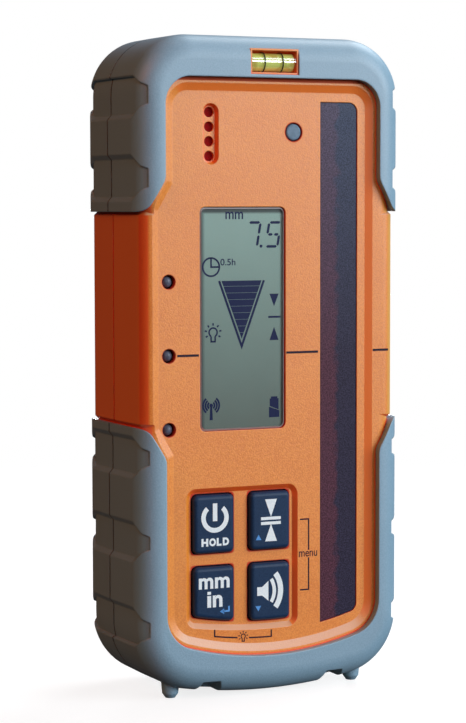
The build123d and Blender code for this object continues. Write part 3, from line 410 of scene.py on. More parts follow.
def housing_orange(name):
    """Orange plastic with painted red shade on shaded slopes, the top ledge, in gaps and round the keys, and
    painted highlights.
    """
    material = moulded(
        name, ORANGE, ORANGE_DEEP, rough=0.44, grain=2700.0, depth=0.050, edge_r=0.30, edge_highlight=0.10,
        Specular_IOR_Level=0.85,
    )
    tree = material.node_tree
    shader = next(part for part in tree.nodes if part.type == "BSDF_PRINCIPLED")
    colour, rough = shader.inputs["Base Color"], shader.inputs["Roughness"]
    place = place_of(tree)
    normal = node(tree, "NewGeometry").outputs["Normal"]
    # Painted pale highlight on the rounded right edge of the waist
    edge = math(tree, "MULTIPLY", right_highlight_share(tree, place, normal), waist_share(tree, place))
    # Painted shadow on the ledge under the top bumper, and painted red shade close to walls
    ledge_shadow, gap = ledge_shadow_share(tree, place), gap_shade_share(tree)
    lean = lean_of(tree, normal)
    # Painted red shade on the left side, which faces away from the lights
    left = remap(tree, along(tree, normal, "X"), *ORANGE_LEFT_SHADE_BEGINS)
    base = blend(tree, left, colour.links[0].from_socket, rgba(ORANGE_LEFT_SHADE))
    base = blend(tree, edge, base, rgba(ORANGE_EDGE_HIGHLIGHT))
    base = blend(tree, crest_sheen_share(tree, normal), base, rgba(ORANGE_CREST_SHEEN))
    base = blend(tree, bevel_shade_share(tree, lean, place), base, rgba(ORANGE_BEVEL_SHADE))
    base = blend(tree, slope_shade_share(tree, lean), base, rgba(ORANGE_SHADE))
    # Painted red shade round the keys and lamps
    rim = rim_shade_share(tree, place)
    base = blend(tree, gap, base, rgba(ORANGE_GAP_SHADE))
    base = blend(tree, rim, base, rgba(ORANGE_RIM_SHADE))
    feed(tree, colour, blend(tree, ledge_shadow, base, rgba(ORANGE_LEDGE_SHADOW)))
    duller = math(tree, "MULTIPLY", math(tree, "MAXIMUM", ledge_shadow, rim), SHADED_DULL)
    feed(tree, rough, math(tree, "ADD", rough.links[0].from_socket, duller))
    return material


def bumper_grey(name):
    """Soft grey plastic with a painted shade tint on its left side and a darkened joint line between its
    halves.
    """
    material = moulded(
        name, GREY, GREY_DEEP, rough=0.46, grain=2600.0, depth=0.036, edge_r=0.55, edge_highlight=0.10,
        Specular_IOR_Level=0.8,
    )
    tree = material.node_tree
    colour = next(part for part in tree.nodes if part.type == "BSDF_PRINCIPLED").inputs["Base Color"]
    normal = node(tree, "NewGeometry").outputs["Normal"]
    # Painted shade tint on the left side, against the warm fill light
    left = remap(tree, along(tree, normal, "X"), *GREY_LEFT_SHADE_BEGINS)
    base = blend(tree, left, colour.links[0].from_socket, rgba(GREY_LEFT_SHADE))
    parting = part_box("top_bumper_front")[1].y
    away = math(tree, "ABSOLUTE", math(tree, "SUBTRACT", along(tree, place_of(tree), "Y"), parting), 0.0)
    seam_and_shadow = remap(tree, away, SEAM_HALF * MM, 0.5 * SEAM_HALF * MM, 0.0, SEAM_STRENGTH)
    feed(tree, colour, blend(tree, seam_and_shadow, base, rgba(GREY_SEAM)))
    return material


def key_navy(name):
    return moulded(
        name, NAVY, NAVY_DEEP, rough=0.42, grain=3000.0, depth=0.020, edge_r=0.40, edge_highlight=0.04,
        Specular_IOR_Level=0.25,
    )


def seal_black(name):
    black, deep = (0.030, 0.030, 0.032), (0.020, 0.020, 0.022)
    return moulded(
        name, black, deep, rough=0.65, grain=2400.0, depth=0.02, edge_r=0.2, edge_highlight=0.03,
        Specular_IOR_Level=0.2,
    )


def membrane_painted_red(name):
    """Thin sound membrane, painted deep red to stand in for the red light that bounces inside the orange
    speaker holes.
    """
    red, deep = (0.34, 0.003, 0.004), (0.24, 0.002, 0.003)
    return moulded(
        name, red, deep, rough=0.7, grain=2400.0, depth=0.01, edge_r=0.2, edge_highlight=0.0,
        Specular_IOR_Level=0.1,
    )


def plain_black(name):
    black, deep = (0.034, 0.034, 0.037), (0.022, 0.022, 0.025)
    return moulded(name, black, deep, rough=0.45, grain=2600.0, depth=0.02, edge_r=0.2, edge_highlight=0.05)


def latch_dark(name):
    dark, deep = (0.055, 0.058, 0.062), (0.038, 0.040, 0.044)
    return moulded(name, dark, deep, rough=0.45, grain=2400.0, depth=0.02, edge_r=0.25, edge_highlight=0.10)


# Window: where its two tints meet, as a part of its width, how ragged and how soft their border is, in
# millimetres, and how strong the painted sheen on its top is
WINDOW_SPLIT = 0.46
WINDOW_RAGGED = 5.0
WINDOW_SOFT = 0.6
WINDOW_TOP_SHEEN = 0.45


def window_tint(name):
    """Dark detector window: brownish by the display, bluish by the rim, frosted, a little cloudy and with a
    painted sheen towards the top.
    """
    material, tree, shader = principled(name, Specular_IOR_Level=0.15)
    place = place_of(tree)
    low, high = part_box("receiver_window")
    fine = noise(tree, place, 2800.0, 2.0, 0.7)
    cloud = noise(tree, place, 260.0, 3.0)
    split = low.x + WINDOW_SPLIT * (high.x - low.x)
    ragged = math(tree, "MULTIPLY", math(tree, "SUBTRACT", cloud, 0.5), WINDOW_RAGGED * MM)
    side = math(tree, "ADD", along(tree, place, "X"), ragged)
    bluish = remap(tree, side, split - WINDOW_SOFT * MM, split + WINDOW_SOFT * MM)
    base = blend(tree, bluish, rgba(WINDOW_BROWN), rgba(WINDOW_BLUE))
    # Painted sheen that grows towards the top
    middle = (low.z + high.z) / 2.0
    top = remap(tree, along(tree, place, "Z"), middle, high.z, 0.0, WINDOW_TOP_SHEEN)
    base = blend(tree, top, base, rgba(WINDOW_SHEEN))
    grain = remap(tree, fine, 0.36, 0.64, 0.55, 1.50)
    grained = node(tree, "Mix", {0: 1.0, 6: base, 7: grain}, data_type="RGBA", blend_type="MULTIPLY")
    feed(tree, shader.inputs["Base Color"], grained.outputs[2])
    feed(tree, shader.inputs["Roughness"], remap(tree, cloud, 0.3, 0.7, 0.36, 0.44))
    feed(tree, shader.inputs["Normal"], bump(tree, fine, 0.02, soft_edges(tree, 0.35)))
    return material


# Display panel, in millimetres: how far clouds shift its painted sheen, and from where to where its dark
# strip fades beside the left edge and its painted shadow under the top one
DISPLAY_CLOUD = 6.0
DARK_STRIP_BESIDE = (0.6, 1.5)
SHADOW_UNDER = (1.5, 0.9)


def display_panel(name):
    """Reflective display: grey-green with a painted sheen that grows towards the top, a dark strip at the
    left and a painted shadow under the top edge.
    """
    material, tree, shader = principled(name, Specular_IOR_Level=0.3)
    place = place_of(tree)
    low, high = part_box("lcd_window")
    fine = noise(tree, place, 3200.0, 1.0)
    cloud = noise(tree, place, 120.0, 3.0)
    shift = math(tree, "MULTIPLY", cloud, DISPLAY_CLOUD * MM)
    height = math(tree, "ADD", along(tree, place, "Z"), shift)
    base = blend(tree, remap(tree, height, low.z, high.z), rgba(DISPLAY_FOOT), rgba(DISPLAY_SHEEN_TOP))
    base = blend(tree, remap(tree, fine, 0.4, 0.7, 0.0, 0.10), base, rgba(DISPLAY_FLECK))
    left, top = low.x + DISPLAY_LIP * MM, high.z - DISPLAY_LIP * MM
    from_left, to_left = (left + reach * MM for reach in DARK_STRIP_BESIDE)
    from_top, to_top = (top - reach * MM for reach in SHADOW_UNDER)
    # Dark strip beside the left edge and painted shadow under the top edge
    beside = remap(tree, along(tree, place, "X"), from_left, to_left, 0.8, 0.0)
    above = remap(tree, along(tree, place, "Z"), from_top, to_top, 0.0, 0.9)
    seam_and_shadow = math(tree, "MAXIMUM", beside, above)
    feed(tree, shader.inputs["Base Color"], blend(tree, seam_and_shadow, base, rgba(DISPLAY_SHADE)))
    feed(tree, shader.inputs["Roughness"], remap(tree, fine, 0.3, 0.7, 0.40, 0.48))
    return material


def clear_plastic(name, tint, rough, edge=None, gloss=0.04):
    """Clear polished plastic with faint smears; an edge colour makes faces that look aside milky."""
    material, tree, output = blank(name)
    smear = noise(tree, place_of(tree), 180.0, 4.0)
    through = node(tree, "BsdfTransparent", {"Color": rgba(tint)})
    shine = node(tree, "BsdfGlossy", {"Roughness": remap(tree, smear, 0.3, 0.7, rough, rough * 2.0)})
    facing = node(tree, "LayerWeight", {"Blend": 0.5}).outputs["Facing"]
    share = remap(tree, facing, 0.3, 1.0, gloss, 0.45)
    surface = node(tree, "MixShader", {0: share, 1: through.outputs[0], 2: shine.outputs[0]})
    if edge:
        forward = along(tree, node(tree, "NewGeometry").outputs["Normal"], "Y")
        milky = remap(tree, math(tree, "ABSOLUTE", forward, 0.0), 0.9, 0.75)
        dull = node(tree, "BsdfDiffuse", {"Color": rgba(edge)})
        surface = node(tree, "MixShader", {0: milky, 1: surface.outputs[0], 2: dull.outputs[0]})
    feed(tree, output.inputs["Surface"], surface.outputs[0])
    return material


def display_cover(name):
    return clear_plastic(name, (0.98, 0.99, 0.985), 0.05, (0.46, 0.46, 0.46))


def vial_acrylic(name):
    return clear_plastic(name, (0.99, 0.99, 0.97), 0.02, gloss=0.12)


def vial_fluid(name):
    """Yellow-green liquid that lets some light through, with painted patches of the orange pocket seen
    through it and a painted glow.
    """
    material, tree, shader = principled(name, Roughness=0.25, Alpha=0.75, Specular_IOR_Level=0.3)
    refraction_patches = noise(tree, place_of(tree), 320.0, 2.0)
    base = blend(tree, remap(tree, refraction_patches, 0.40, 0.54), rgba(FLUID_REFRACTED_ORANGE), rgba(FLUID))
    feed(tree, shader.inputs["Base Color"], base)
    # Painted glow, though the fluid is no lamp
    shader.inputs["Emission Color"].default_value = rgba(FLUID)
    shader.inputs["Emission Strength"].default_value = FLUID_PAINTED_GLOW
    return material


def dome_lens(name, light, deep, rough):
    """Small tinted lens with cloudy depth."""
    material, tree, shader = principled(name, Specular_IOR_Level=0.3)
    place = place_of(tree)
    cloud = noise(tree, place, 900.0, 3.0)
    base = blend(tree, remap(tree, cloud, 0.4, 0.6), rgba(deep), rgba(light))
    feed(tree, shader.inputs["Base Color"], base)
    feed(tree, shader.inputs["Roughness"], remap(tree, cloud, 0.3, 0.7, rough, rough + 0.1))
    return material


def lamp_lens(name):
    return dome_lens(name, (0.135, 0.150, 0.205), (0.090, 0.095, 0.130), 0.3)


def sensor_lens(name):
    return dome_lens(name, (0.165, 0.25, 0.34), (0.12, 0.19, 0.27), 0.4)


def printed(name, colour, deep, rough=0.5):
    """Screen print: slightly uneven ink over the moulded grain."""
    material, tree, shader = principled(name, Specular_IOR_Level=0.2)
    place = place_of(tree)
    fine = noise(tree, place, 2600.0, 2.0)
    base = blend(tree, remap(tree, fine, 0.35, 0.65), rgba(deep), rgba(colour))
    feed(tree, shader.inputs["Base Color"], base)
    feed(tree, shader.inputs["Roughness"], remap(tree, fine, 0.3, 0.7, rough - 0.08, rough + 0.08))
    return material


def mark_black(name):
    return printed(name, (0.018, 0.018, 0.020), (0.010, 0.010, 0.012))


def board_green(name):
    """Solder mask with copper tracks under it."""
    material, tree, shader = principled(name, IOR=1.5)
    place = place_of(tree)
    bricks = node(tree, "TexBrick", {"Vector": place, "Scale": 220.0, "Mortar Size": 0.06})
    track = bricks.outputs["Fac"]
    cloud = noise(tree, place, 400.0)
    deep, mask, copper = (0.012, 0.085, 0.035), (0.018, 0.115, 0.050), (0.030, 0.160, 0.070)
    base = blend(tree, remap(tree, cloud, 0.3, 0.7), rgba(deep), rgba(mask))
    feed(tree, shader.inputs["Base Color"], blend(tree, track, base, rgba(copper)))
    feed(tree, shader.inputs["Roughness"], remap(tree, cloud, 0.3, 0.7, 0.28, 0.38))
    feed(tree, shader.inputs["Normal"], bump(tree, track, 0.03, soft_edges(tree, 0.1)))
    return material


def diode_case(name):
    return dome_lens(name, (0.030, 0.028, 0.045), (0.016, 0.014, 0.024), 0.2)


def filter_sheet(name):
    return clear_plastic(name, (0.45, 0.06, 0.05), 0.06)


def light_guide(name):
    return printed(name, (0.80, 0.83, 0.80), (0.72, 0.75, 0.72), 0.4)


def contact_strip(name):
    """Rubber connector with conducting stripes."""
    material, tree, shader = principled(name, Roughness=0.6)
    pink, carbon = (0.52, 0.33, 0.36), (0.03, 0.03, 0.03)
    wave = node(tree, "TexWave", {"Vector": place_of(tree), "Scale": 600.0}, bands_direction="X")
    striped = remap(tree, wave.outputs["Fac"], 0.4, 0.6)
    feed(tree, shader.inputs["Base Color"], blend(tree, striped, rgba(pink), rgba(carbon)))
    return material


def cell_sleeve(name):
    """Dry cell: printed sleeve with a pale band, bare plated ends."""
    material, tree, shader = principled(name, IOR=1.5)
    place = place_of(tree)
    low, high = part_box("battery_cells")
    scratch = noise(tree, place, 500.0, 3.0)
    height = along(tree, place, "Z")
    band = math(tree, "GREATER_THAN", height, low.z + 0.7 * (high.z - low.z))
    navy, pale, plating = (0.030, 0.050, 0.095), (0.46, 0.47, 0.48), (0.62, 0.61, 0.58)
    sleeve = blend(tree, band, rgba(navy), rgba(pale))
    up = along(tree, node(tree, "NewGeometry").outputs["Normal"], "Z")
    cap = math(tree, "GREATER_THAN", math(tree, "ABSOLUTE", up, 0.0), 0.7)
    feed(tree, shader.inputs["Base Color"], blend(tree, cap, sleeve, rgba(plating)))
    feed(tree, shader.inputs["Metallic"], cap)
    feed(tree, shader.inputs["Roughness"], remap(tree, scratch, 0.3, 0.7, 0.24, 0.36))
    return material


def metal(name, light, deep, rough, stretch):
    """Bare metal with fine machining marks; stretch draws them out along an axis."""
    material, tree, shader = principled(name, Metallic=1.0)
    place = node(tree, "Mapping", {"Vector": place_of(tree), "Scale": stretch}).outputs[0]
    marks = noise(tree, place, 2500.0, 3.0)
    rounded = soft_edges(tree, 0.15)
    feed(tree, shader.inputs["Base Color"], blend(tree, marks, rgba(deep), rgba(light)))
    feed(tree, shader.inputs["Roughness"], remap(tree, marks, 0.3, 0.7, rough, rough + 0.12))
    feed(tree, shader.inputs["Normal"], bump(tree, marks, 0.01, rounded))
    return material


# Machining marks drawn out along Y
TURNED = (1.0, 0.15, 1.0)


def plated_steel(name):
    return metal(name, (0.62, 0.62, 0.61), (0.48, 0.48, 0.47), rough=0.26, stretch=TURNED)


def turned_brass(name):
    return metal(name, (0.72, 0.52, 0.22), (0.56, 0.38, 0.13), rough=0.24, stretch=TURNED)


MAKERS = {
    "orange_housing": housing_orange,
    "grey_bumper": bumper_grey,
    "dark_window": window_tint,
    "display_cover": display_cover,
    "display_glass": display_panel,
    "key_rubber": key_navy,
    "lamp_lens": lamp_lens,
    "sensor_lens": sensor_lens,
    "vial_acrylic": vial_acrylic,
    "vial_fluid": vial_fluid,
    "vial_mark": mark_black,
    "seal_rubber": seal_black,
    "membrane_film": membrane_painted_red,
    "board_laminate": board_green,
    "diode_case": diode_case,
    "filter_sheet": filter_sheet,
    "black_plastic": plain_black,
    "light_guide": light_guide,
    "contact_strip": contact_strip,
    "cell_wrap": cell_sleeve,
    "steel": plated_steel,
    "brass_insert": turned_brass,
    "latch_plastic": latch_dark,
}


def dress_nodes():
    """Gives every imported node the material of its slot."""
    made = {slot: maker(slot) for slot, maker in MAKERS.items()}
    for part in frame["record"]["subparts"]:
        mesh = NODES[part["node"]].data
        mesh.materials.clear()
        mesh.materials.append(made[part["material_slot"]])


def disc(x, z, radius, steps=ARC_STEPS):
    """Outline of a full circle."""
    turns = [radians(360.0 * i / steps) for i in range(steps)]
    return [(x + radius * cos(turn), z + radius * sin(turn)) for turn in turns]


def arc_points(x, z, radius, start, end, steps=ARC_STEPS):
    """Points along an arc, with its ends in degrees."""
    turns = [radians(start + (end - start) * i / steps) for i in range(steps + 1)]
    return [(x + radius * cos(turn), z + radius * sin(turn)) for turn in turns]


def band(x, z, outer, width, start, end):
    """Outline of an arc of even width, measured from its outer edge."""
    inner = arc_points(x, z, outer - width, end, start)
    return arc_points(x, z, outer, start, end) + inner


def block(x_range, z_range):
    """Outline of a rectangle."""
    return [(x_range[i], z_range[j]) for i, j in ((0, 0), (1, 0), (1, 1), (0, 1))]


def ribbon(points, width):
    """Outline of an open line of even width with mitred corners."""
    spots = [Vector(point) for point in points]
    left = []
    right = []
    for i, spot in enumerate(spots):
        runs = []
        if i > 0:
            runs.append((spot - spots[i - 1]).normalized())
        if i < len(spots) - 1:
            runs.append((spots[i + 1] - spot).normalized())
        mean = sum(runs, Vector((0.0, 0.0))).normalized()
        reach = width / 2.0 / mean.dot(runs[0])
        side = Vector((-mean.y, mean.x)) * reach
        left.append(tuple(spot + side))
        right.append(tuple(spot - side))
    return left + right[::-1]


class Sign:
    """Thin raised shapes on one front-facing plane, gathered into one piece; places count from a middle."""

    def __init__(self, face_y, middle=(0.0, 0.0)):
        self.mesh = bmesh.new()
        self.front = face_y - PROUD
        self.back = face_y + SUNK
        self.middle = middle

    def shape(self, outline):
        """Adds a flat shape, given as (x, z) points in millimetres."""
        front = [self.mesh.verts.new((x, self.front, z)) for x, z in outline]
        back = [self.mesh.verts.new((x, self.back, z)) for x, z in outline]
        self.mesh.faces.new(front)
        self.mesh.faces.new(back[::-1])
        for i in range(len(outline)):
            j = (i + 1) % len(outline)
            self.mesh.faces.new((front[i], back[i], back[j], front[j]))

    def line(self, points, width):
        self.shape(ribbon(points, width))

    def ring(self, x, z, outer, width):
        self.shape(band(x, z, outer, width, 0.0, 180.0))
        self.shape(band(x, z, outer, width, 180.0, 360.0))

    def words(self, text, x_range, z_range, weight):
        """Adds lettering that fills the given ranges; weight makes its strokes heavier."""
        curve = bpy.data.curves.new("lettering", "FONT")
        curve.body = text
        curve.offset = weight
        curve.extrude = 0.5
        holder = bpy.data.objects.new("lettering", curve)
        mesh = bpy.data.meshes.new_from_object(holder)
        bpy.data.objects.remove(holder)
        bpy.data.curves.remove(curve)
        xs = [vertex.co.x for vertex in mesh.vertices]
        ys = [vertex.co.y for vertex in mesh.vertices]
        wide = (x_range[1] - x_range[0]) / (max(xs) - min(xs))
        high = (z_range[1] - z_range[0]) / (max(ys) - min(ys))
        for vertex in mesh.vertices:
            x, y, z = vertex.co
            depth = self.front if z > 0.0 else self.back
            vertex.co = (x_range[0] + (x - min(xs)) * wide, depth, z_range[0] + (y - min(ys)) * high)
        self.mesh.from_mesh(mesh)
        bpy.data.meshes.remove(mesh)

    def piece(self, name, body, material):
        """Makes the mesh piece and lets it ride on a body."""
        bmesh.ops.remove_doubles(self.mesh, verts=self.mesh.verts, dist=MERGE)
        bmesh.ops.recalc_face_normals(self.mesh, faces=self.mesh.faces)
        data = bpy.data.meshes.new(name)
        self.mesh.to_mesh(data)
        self.mesh.free()
        x, z = self.middle
        data.transform(Matrix.Scale(MM, 4) @ Matrix.Translation((x, 0.0, z)))
        data.materials.append(material)
        made = bpy.data.objects.new(name, data)
        bpy.context.scene.collection.objects.link(made)
        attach(made, body)


def sign_on(name, shift=(0.0, 0.0)):
    """Empty sign on the front of a node, with places counted from the node's shifted middle."""
    low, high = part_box(name)
    middle = (low + high) / 2.0 / MM
    return Sign(low.y / MM, (middle.x + shift[0], middle.z + shift[1]))


# Light bulb sign: half its neck and its height below the middle, as parts of the bulb's radius, where the
# round stretch ends below the middle, and its rays, with turns in degrees
BULB_NECK = 0.42
BULB_FOOT = 1.75
BULB_END = 60.0
RAYS = 7
RAY_FIRST = -30.0
RAY_STEP = 40.0


def lamp_sign(sign, x, z, bulb_r, stroke, ray_from, ray_to):
    """Outline of a light bulb with its rays."""
    sign.shape(band(x, z, bulb_r, stroke, -BULB_END, 180.0 + BULB_END))
    neck = bulb_r * BULB_NECK
    foot = z - bulb_r * BULB_FOOT
    middle = bulb_r - stroke / 2.0
    end = radians(BULB_END)
    for way in (-1.0, 1.0):
        shoulder = (x + way * middle * cos(end), z - middle * sin(end))
        sign.line([shoulder, (x + way * neck, foot)], stroke)
    sign.line([(x - neck - stroke / 2.0, foot), (x + neck + stroke / 2.0, foot)], stroke)
    centre = Vector((x, z))
    for i in range(RAYS):
        turn = radians(RAY_FIRST + RAY_STEP * i)
        way = Vector((cos(turn), sin(turn)))
        sign.line([centre + way * ray_from, centre + way * ray_to], stroke)


# Digits of the display: seven strokes on a slanted frame, in millimetres like all the signs
DIGIT_W = 3.3
DIGIT_H = 6.05
DIGIT_STROKE = 0.66
DIGIT_SLANT = 0.175
DIGIT_GAP = 0.16
DIGIT_Z = 18.06
DIGIT_STROKES = {
    "top": ((0, 2), (1, 2)), "upper_right": ((1, 2), (1, 1)), "lower_right": ((1, 1), (1, 0)),
    "bottom": ((0, 0), (1, 0)), "upper_left": ((0, 2), (0, 1)),
    "middle_left": ((0, 1), (0.5, 1)), "middle_right": ((0.5, 1), (1, 1)),
}
SEVEN = ("top", "upper_right", "lower_right")
FIVE = ("top", "upper_left", "middle_left", "middle_right", "lower_right", "bottom")


def digit(sign, x, strokes):
    """One slanted digit whose lower left corner is at x."""
    for name in strokes:
        ends = [Vector((DIGIT_W * u, DIGIT_H * v / 2.0)) for u, v in DIGIT_STROKES[name]]
        run = (ends[1] - ends[0]).normalized()
        side = Vector((-run.y, run.x)) * DIGIT_STROKE / 2.0
        taper = run * DIGIT_STROKE / 2.0
        start = ends[0] + run * DIGIT_GAP
        end = ends[1] - run * DIGIT_GAP
        upper = [start + taper + side, end - taper + side]
        lower = [end - taper - side, start + taper - side]
        outline = [start, *upper, end, *lower]
        sign.shape([(x + spot.x + spot.y * DIGIT_SLANT, DIGIT_Z + spot.y) for spot in outline])


# Funnel of bars in the middle of the display
FUNNEL_X = 0.0
FUNNEL_TOP = 9.56
FUNNEL_TIP = -6.98
FUNNEL_HALF = 6.2
FUNNEL_STROKE = 0.6
FILL_HALF = 5.55
FILL_TIP = -5.09
FILL_FIRST = 1.42
FILL_PITCH = 1.67
FILL_GAP = 0.07


def funnel(sign):
    """Two slanted lines that meet in a point, round a triangle of level bars."""
    left, right = (FUNNEL_X - FUNNEL_HALF, FUNNEL_TOP), (FUNNEL_X + FUNNEL_HALF, FUNNEL_TOP)
    sign.line([left, (FUNNEL_X, FUNNEL_TIP), right], FUNNEL_STROKE)
    slope = FILL_HALF / (FUNNEL_TOP - FILL_TIP)
    top = FUNNEL_TOP
    foot = FUNNEL_TOP - FILL_FIRST
    while top > FILL_TIP:
        wide = slope * (top - FILL_TIP)
        slim = slope * max(foot + FILL_GAP - FILL_TIP, 0.0)
        corners = [(FUNNEL_X - wide, top), (FUNNEL_X + wide, top)]
        if foot > FILL_TIP:
            corners += [(FUNNEL_X + slim, foot + FILL_GAP), (FUNNEL_X - slim, foot + FILL_GAP)]
        else:
            corners.append((FUNNEL_X, FILL_TIP))
        sign.shape(corners)
        top = foot
        foot -= FILL_PITCH


def arrow(sign, x, base_z, tip_z, half):
    """Filled triangle that points up or down."""
    sign.shape([(x - half, base_z), (x + half, base_z), (x, tip_z)])


# Clock, antenna and battery of the display
CLOCK_R = 2.5
CLOCK_STROKE = 0.45
HAND = 2.2
HAND_STROKE = 0.44
BALL_R = 0.5
MAST_TOP = 0.4
MAST_HALVES = (0.28, 0.44)
WAVE_RADII = (1.15, 1.8, 2.45)
WAVE_STROKE = 0.48
WAVE_TURN = 52.0
CAP_HALF = 0.9
CAP_H = 0.5
CHARGE_LEVELS = (1.9, 2.9)
CHARGE_GAP = 0.2


def clock(sign, x, z):
    sign.ring(x, z, CLOCK_R, CLOCK_STROKE)
    sign.line([(x, z + HAND), (x, z), (x + HAND, z)], HAND_STROKE)


def antenna(sign, x, z, foot):
    """Mast with a ball and three arcs on either side."""
    sign.shape(disc(x, z, BALL_R))
    slim, wide = MAST_HALVES
    top = z - MAST_TOP
    sign.shape([(x - slim, top), (x + slim, top), (x + wide, foot), (x - wide, foot)])
    for outer in WAVE_RADII:
        for middle in (0.0, 180.0):
            sign.shape(band(x, z, outer, WAVE_STROKE, middle - WAVE_TURN, middle + WAVE_TURN))


def battery(sign, x_range, z_range):
    """Battery whose charge is split by a slanted gap."""
    x0, x1 = x_range
    z0, z1 = z_range
    middle = (x0 + x1) / 2.0
    body_top = z1 - CAP_H
    sign.shape(block((middle - CAP_HALF, middle + CAP_HALF), (body_top, z1)))
    low, high = (z0 + level for level in CHARGE_LEVELS)
    left, right = x0 + CHARGE_GAP, x1 - CHARGE_GAP
    sign.shape([(left, high), (left, body_top), (right, body_top), (right, low)])
    sign.shape([(x0, z0), (x1, z0), (x1, low - CHARGE_GAP), (x0, high - CHARGE_GAP)])


# Places on the display, from the middle of its panel
UNIT_X = (-4.44, 0.44)
UNIT_Z = (24.97, 26.85)
UNIT_WEIGHT = 0.012
SEVEN_X = 0.96
FIVE_X = 6.68
POINT = (5.41, DIGIT_Z + 0.1)
POINT_R = 0.4
CLOCK_AT = (-8.41, 13.05)
HOUR_X = (-5.84, -1.70)
HOUR_Z = (13.42, 15.10)
HOUR_WEIGHT = 0.010
GRADE_X = 9.06
GRADE_HALF = 1.28
GRADE_UPPER = (6.11, 2.94)
GRADE_LOWER = (-5.64, -2.33)
GRADE_BAR = ((7.44, 10.91), (-0.01, 0.49))
LIGHT_AT = (-7.88, -3.30)
ANTENNA_AT = (-8.46, -21.64)
ANTENNA_FOOT = -25.33
BATTERY_X = (7.63, 10.52)
BATTERY_Z = (-25.27, -19.98)


def make_display():
    sign = sign_on("lcd_panel")
    sign.words("mm", UNIT_X, UNIT_Z, UNIT_WEIGHT)
    digit(sign, SEVEN_X, SEVEN)
    sign.shape(disc(*POINT, POINT_R))
    digit(sign, FIVE_X, FIVE)
    clock(sign, *CLOCK_AT)
    sign.words("0.5h", HOUR_X, HOUR_Z, HOUR_WEIGHT)
    funnel(sign)
    arrow(sign, GRADE_X, *GRADE_UPPER, GRADE_HALF)
    sign.shape(block(*GRADE_BAR))
    arrow(sign, GRADE_X, *GRADE_LOWER, GRADE_HALF)
    lamp_sign(sign, *LIGHT_AT, bulb_r=1.32, stroke=0.42, ray_from=1.72, ray_to=2.32)
    antenna(sign, *ANTENNA_AT, ANTENNA_FOOT)
    battery(sign, BATTERY_X, BATTERY_Z)
    sign.piece("display_segments", "housing", printed("display_ink", SEGMENT, SEGMENT, 0.45))


# Grade line across the front, level with the middle lamp: its three stretches and its width
GRADE_LEFT = (-25.75, -19.9)
GRADE_MIDDLE = (4.4, 13.4)
GRADE_RIM = (28.9, 33.4)
GRADE_W = 0.58


def make_face_marks(ink):
    low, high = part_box("led_on_grade")
    level = (low.z + high.z) / 2.0 / MM
    for name, plane, stretches in (
        ("grade_marks", FACE_Y, (GRADE_LEFT, GRADE_MIDDLE)),
        ("rim_mark", RIM_Y, (GRADE_RIM,)),
    ):
        sign = Sign(plane)
        for start, end in stretches:
            sign.line([(start, level), (end, level)], GRADE_W)
        sign.piece(name, "housing", ink)


# Bracket beside the keys and bracket below them
BRACKET_W = 0.36
MENU_X = (8.3, 10.75)
MENU_TOP = 43.9
MENU_FOOT = 25.7
MENU_GAP = (33.95, 35.9)
MENU_WORD_X = (8.0, 13.2)
MENU_WORD_Z = (34.2, 35.65)
LAMP_X = (-15.75, 0.1)
LAMP_CREST = 14.35
LAMP_ARC_R = 100.0
LAMP_TICK = 1.75
LAMP_MIDDLE = -7.8
LAMP_GAP = 1.6
LAMP_RISE = 0.35
MENU_WEIGHT = 0.004


def crest(x):
    """Height of the lower bracket's curved line."""
    return LAMP_CREST + x * x / (2.0 * LAMP_ARC_R)


def curve_from(start, end, steps=6):
    xs = [start + (end - start) * i / steps for i in range(steps + 1)]
    return [(x, crest(x)) for x in xs]


def make_brackets(ink):
    sign = Sign(FACE_Y)
    sign.line([(MENU_X[0], MENU_TOP), (MENU_X[1], MENU_TOP), (MENU_X[1], MENU_GAP[1])], BRACKET_W)
    sign.line([(MENU_X[0], MENU_FOOT), (MENU_X[1], MENU_FOOT), (MENU_X[1], MENU_GAP[0])], BRACKET_W)
    sign.words("menu", MENU_WORD_X, MENU_WORD_Z, MENU_WEIGHT)
    left, right = LAMP_X
    sign.line([(left, crest(left) + LAMP_TICK)] + curve_from(left, LAMP_MIDDLE - LAMP_GAP), BRACKET_W)
    sign.line([(right, crest(right) + LAMP_TICK)] + curve_from(right, LAMP_MIDDLE + LAMP_GAP), BRACKET_W)
    bulb_z = crest(LAMP_MIDDLE) + LAMP_RISE
    lamp_sign(sign, LAMP_MIDDLE, bulb_z, bulb_r=0.72, stroke=0.26, ray_from=0.95, ray_to=1.35)
    sign.piece("key_brackets", "housing", ink)


# How far the key signs stand off the middles of their keys, and the places on them
KEY_SHIFT = (0.3, -0.1)
SMALL_HALF = 0.8
SMALL_UP = (-3.7, -4.7, -3.3)
SMALL_DOWN = (-3.8, -3.4, -4.75)
POWER_MIDDLE = (-0.2, 1.75)
POWER_R = 3.78
POWER_STROKE = 1.22
POWER_ARC = (131.0, 409.0)
POWER_BAR = ((-0.8, 0.42), (0.9, 5.4))
HOLD_LETTERS = ((-3.95, -2.08), (-1.80, 0.03), (0.24, 1.58), (1.92, 3.64))
HOLD_Z = (-5.4, -3.4)
HOLD_WEIGHT = 0.06
LEVEL_X = -0.2
LEVEL_HALF = 1.66
LEVEL_UPPER = (5.6, 1.1)
LEVEL_LOWER = (-5.15, -0.75)
LEVEL_BAR_X = (-3.0, 2.55)
LEVEL_BARS_Z = ((0.33, 1.1), (-0.9, -0.13))
MM_LETTERS = ((-4.7, -0.73), (-0.28, 3.8))
MM_Z = (1.65, 4.5)
INCH_STEM = ((-2.37, -1.33), (-3.1, -0.15))
INCH_DOT = ((-2.35, -1.35), (0.17, 0.92))
INCH_N = ((-0.87, 1.8), (-3.1, -0.05))
UNITS_WEIGHT = 0.03
ENTER_Z = -4.3
ENTER_TOP = -3.05
ENTER_X = (2.0, 3.6)
ENTER_STROKE = 0.46
ENTER_TIP = 1.07
ENTER_HEAD = 2.25
ENTER_HALF = 0.7
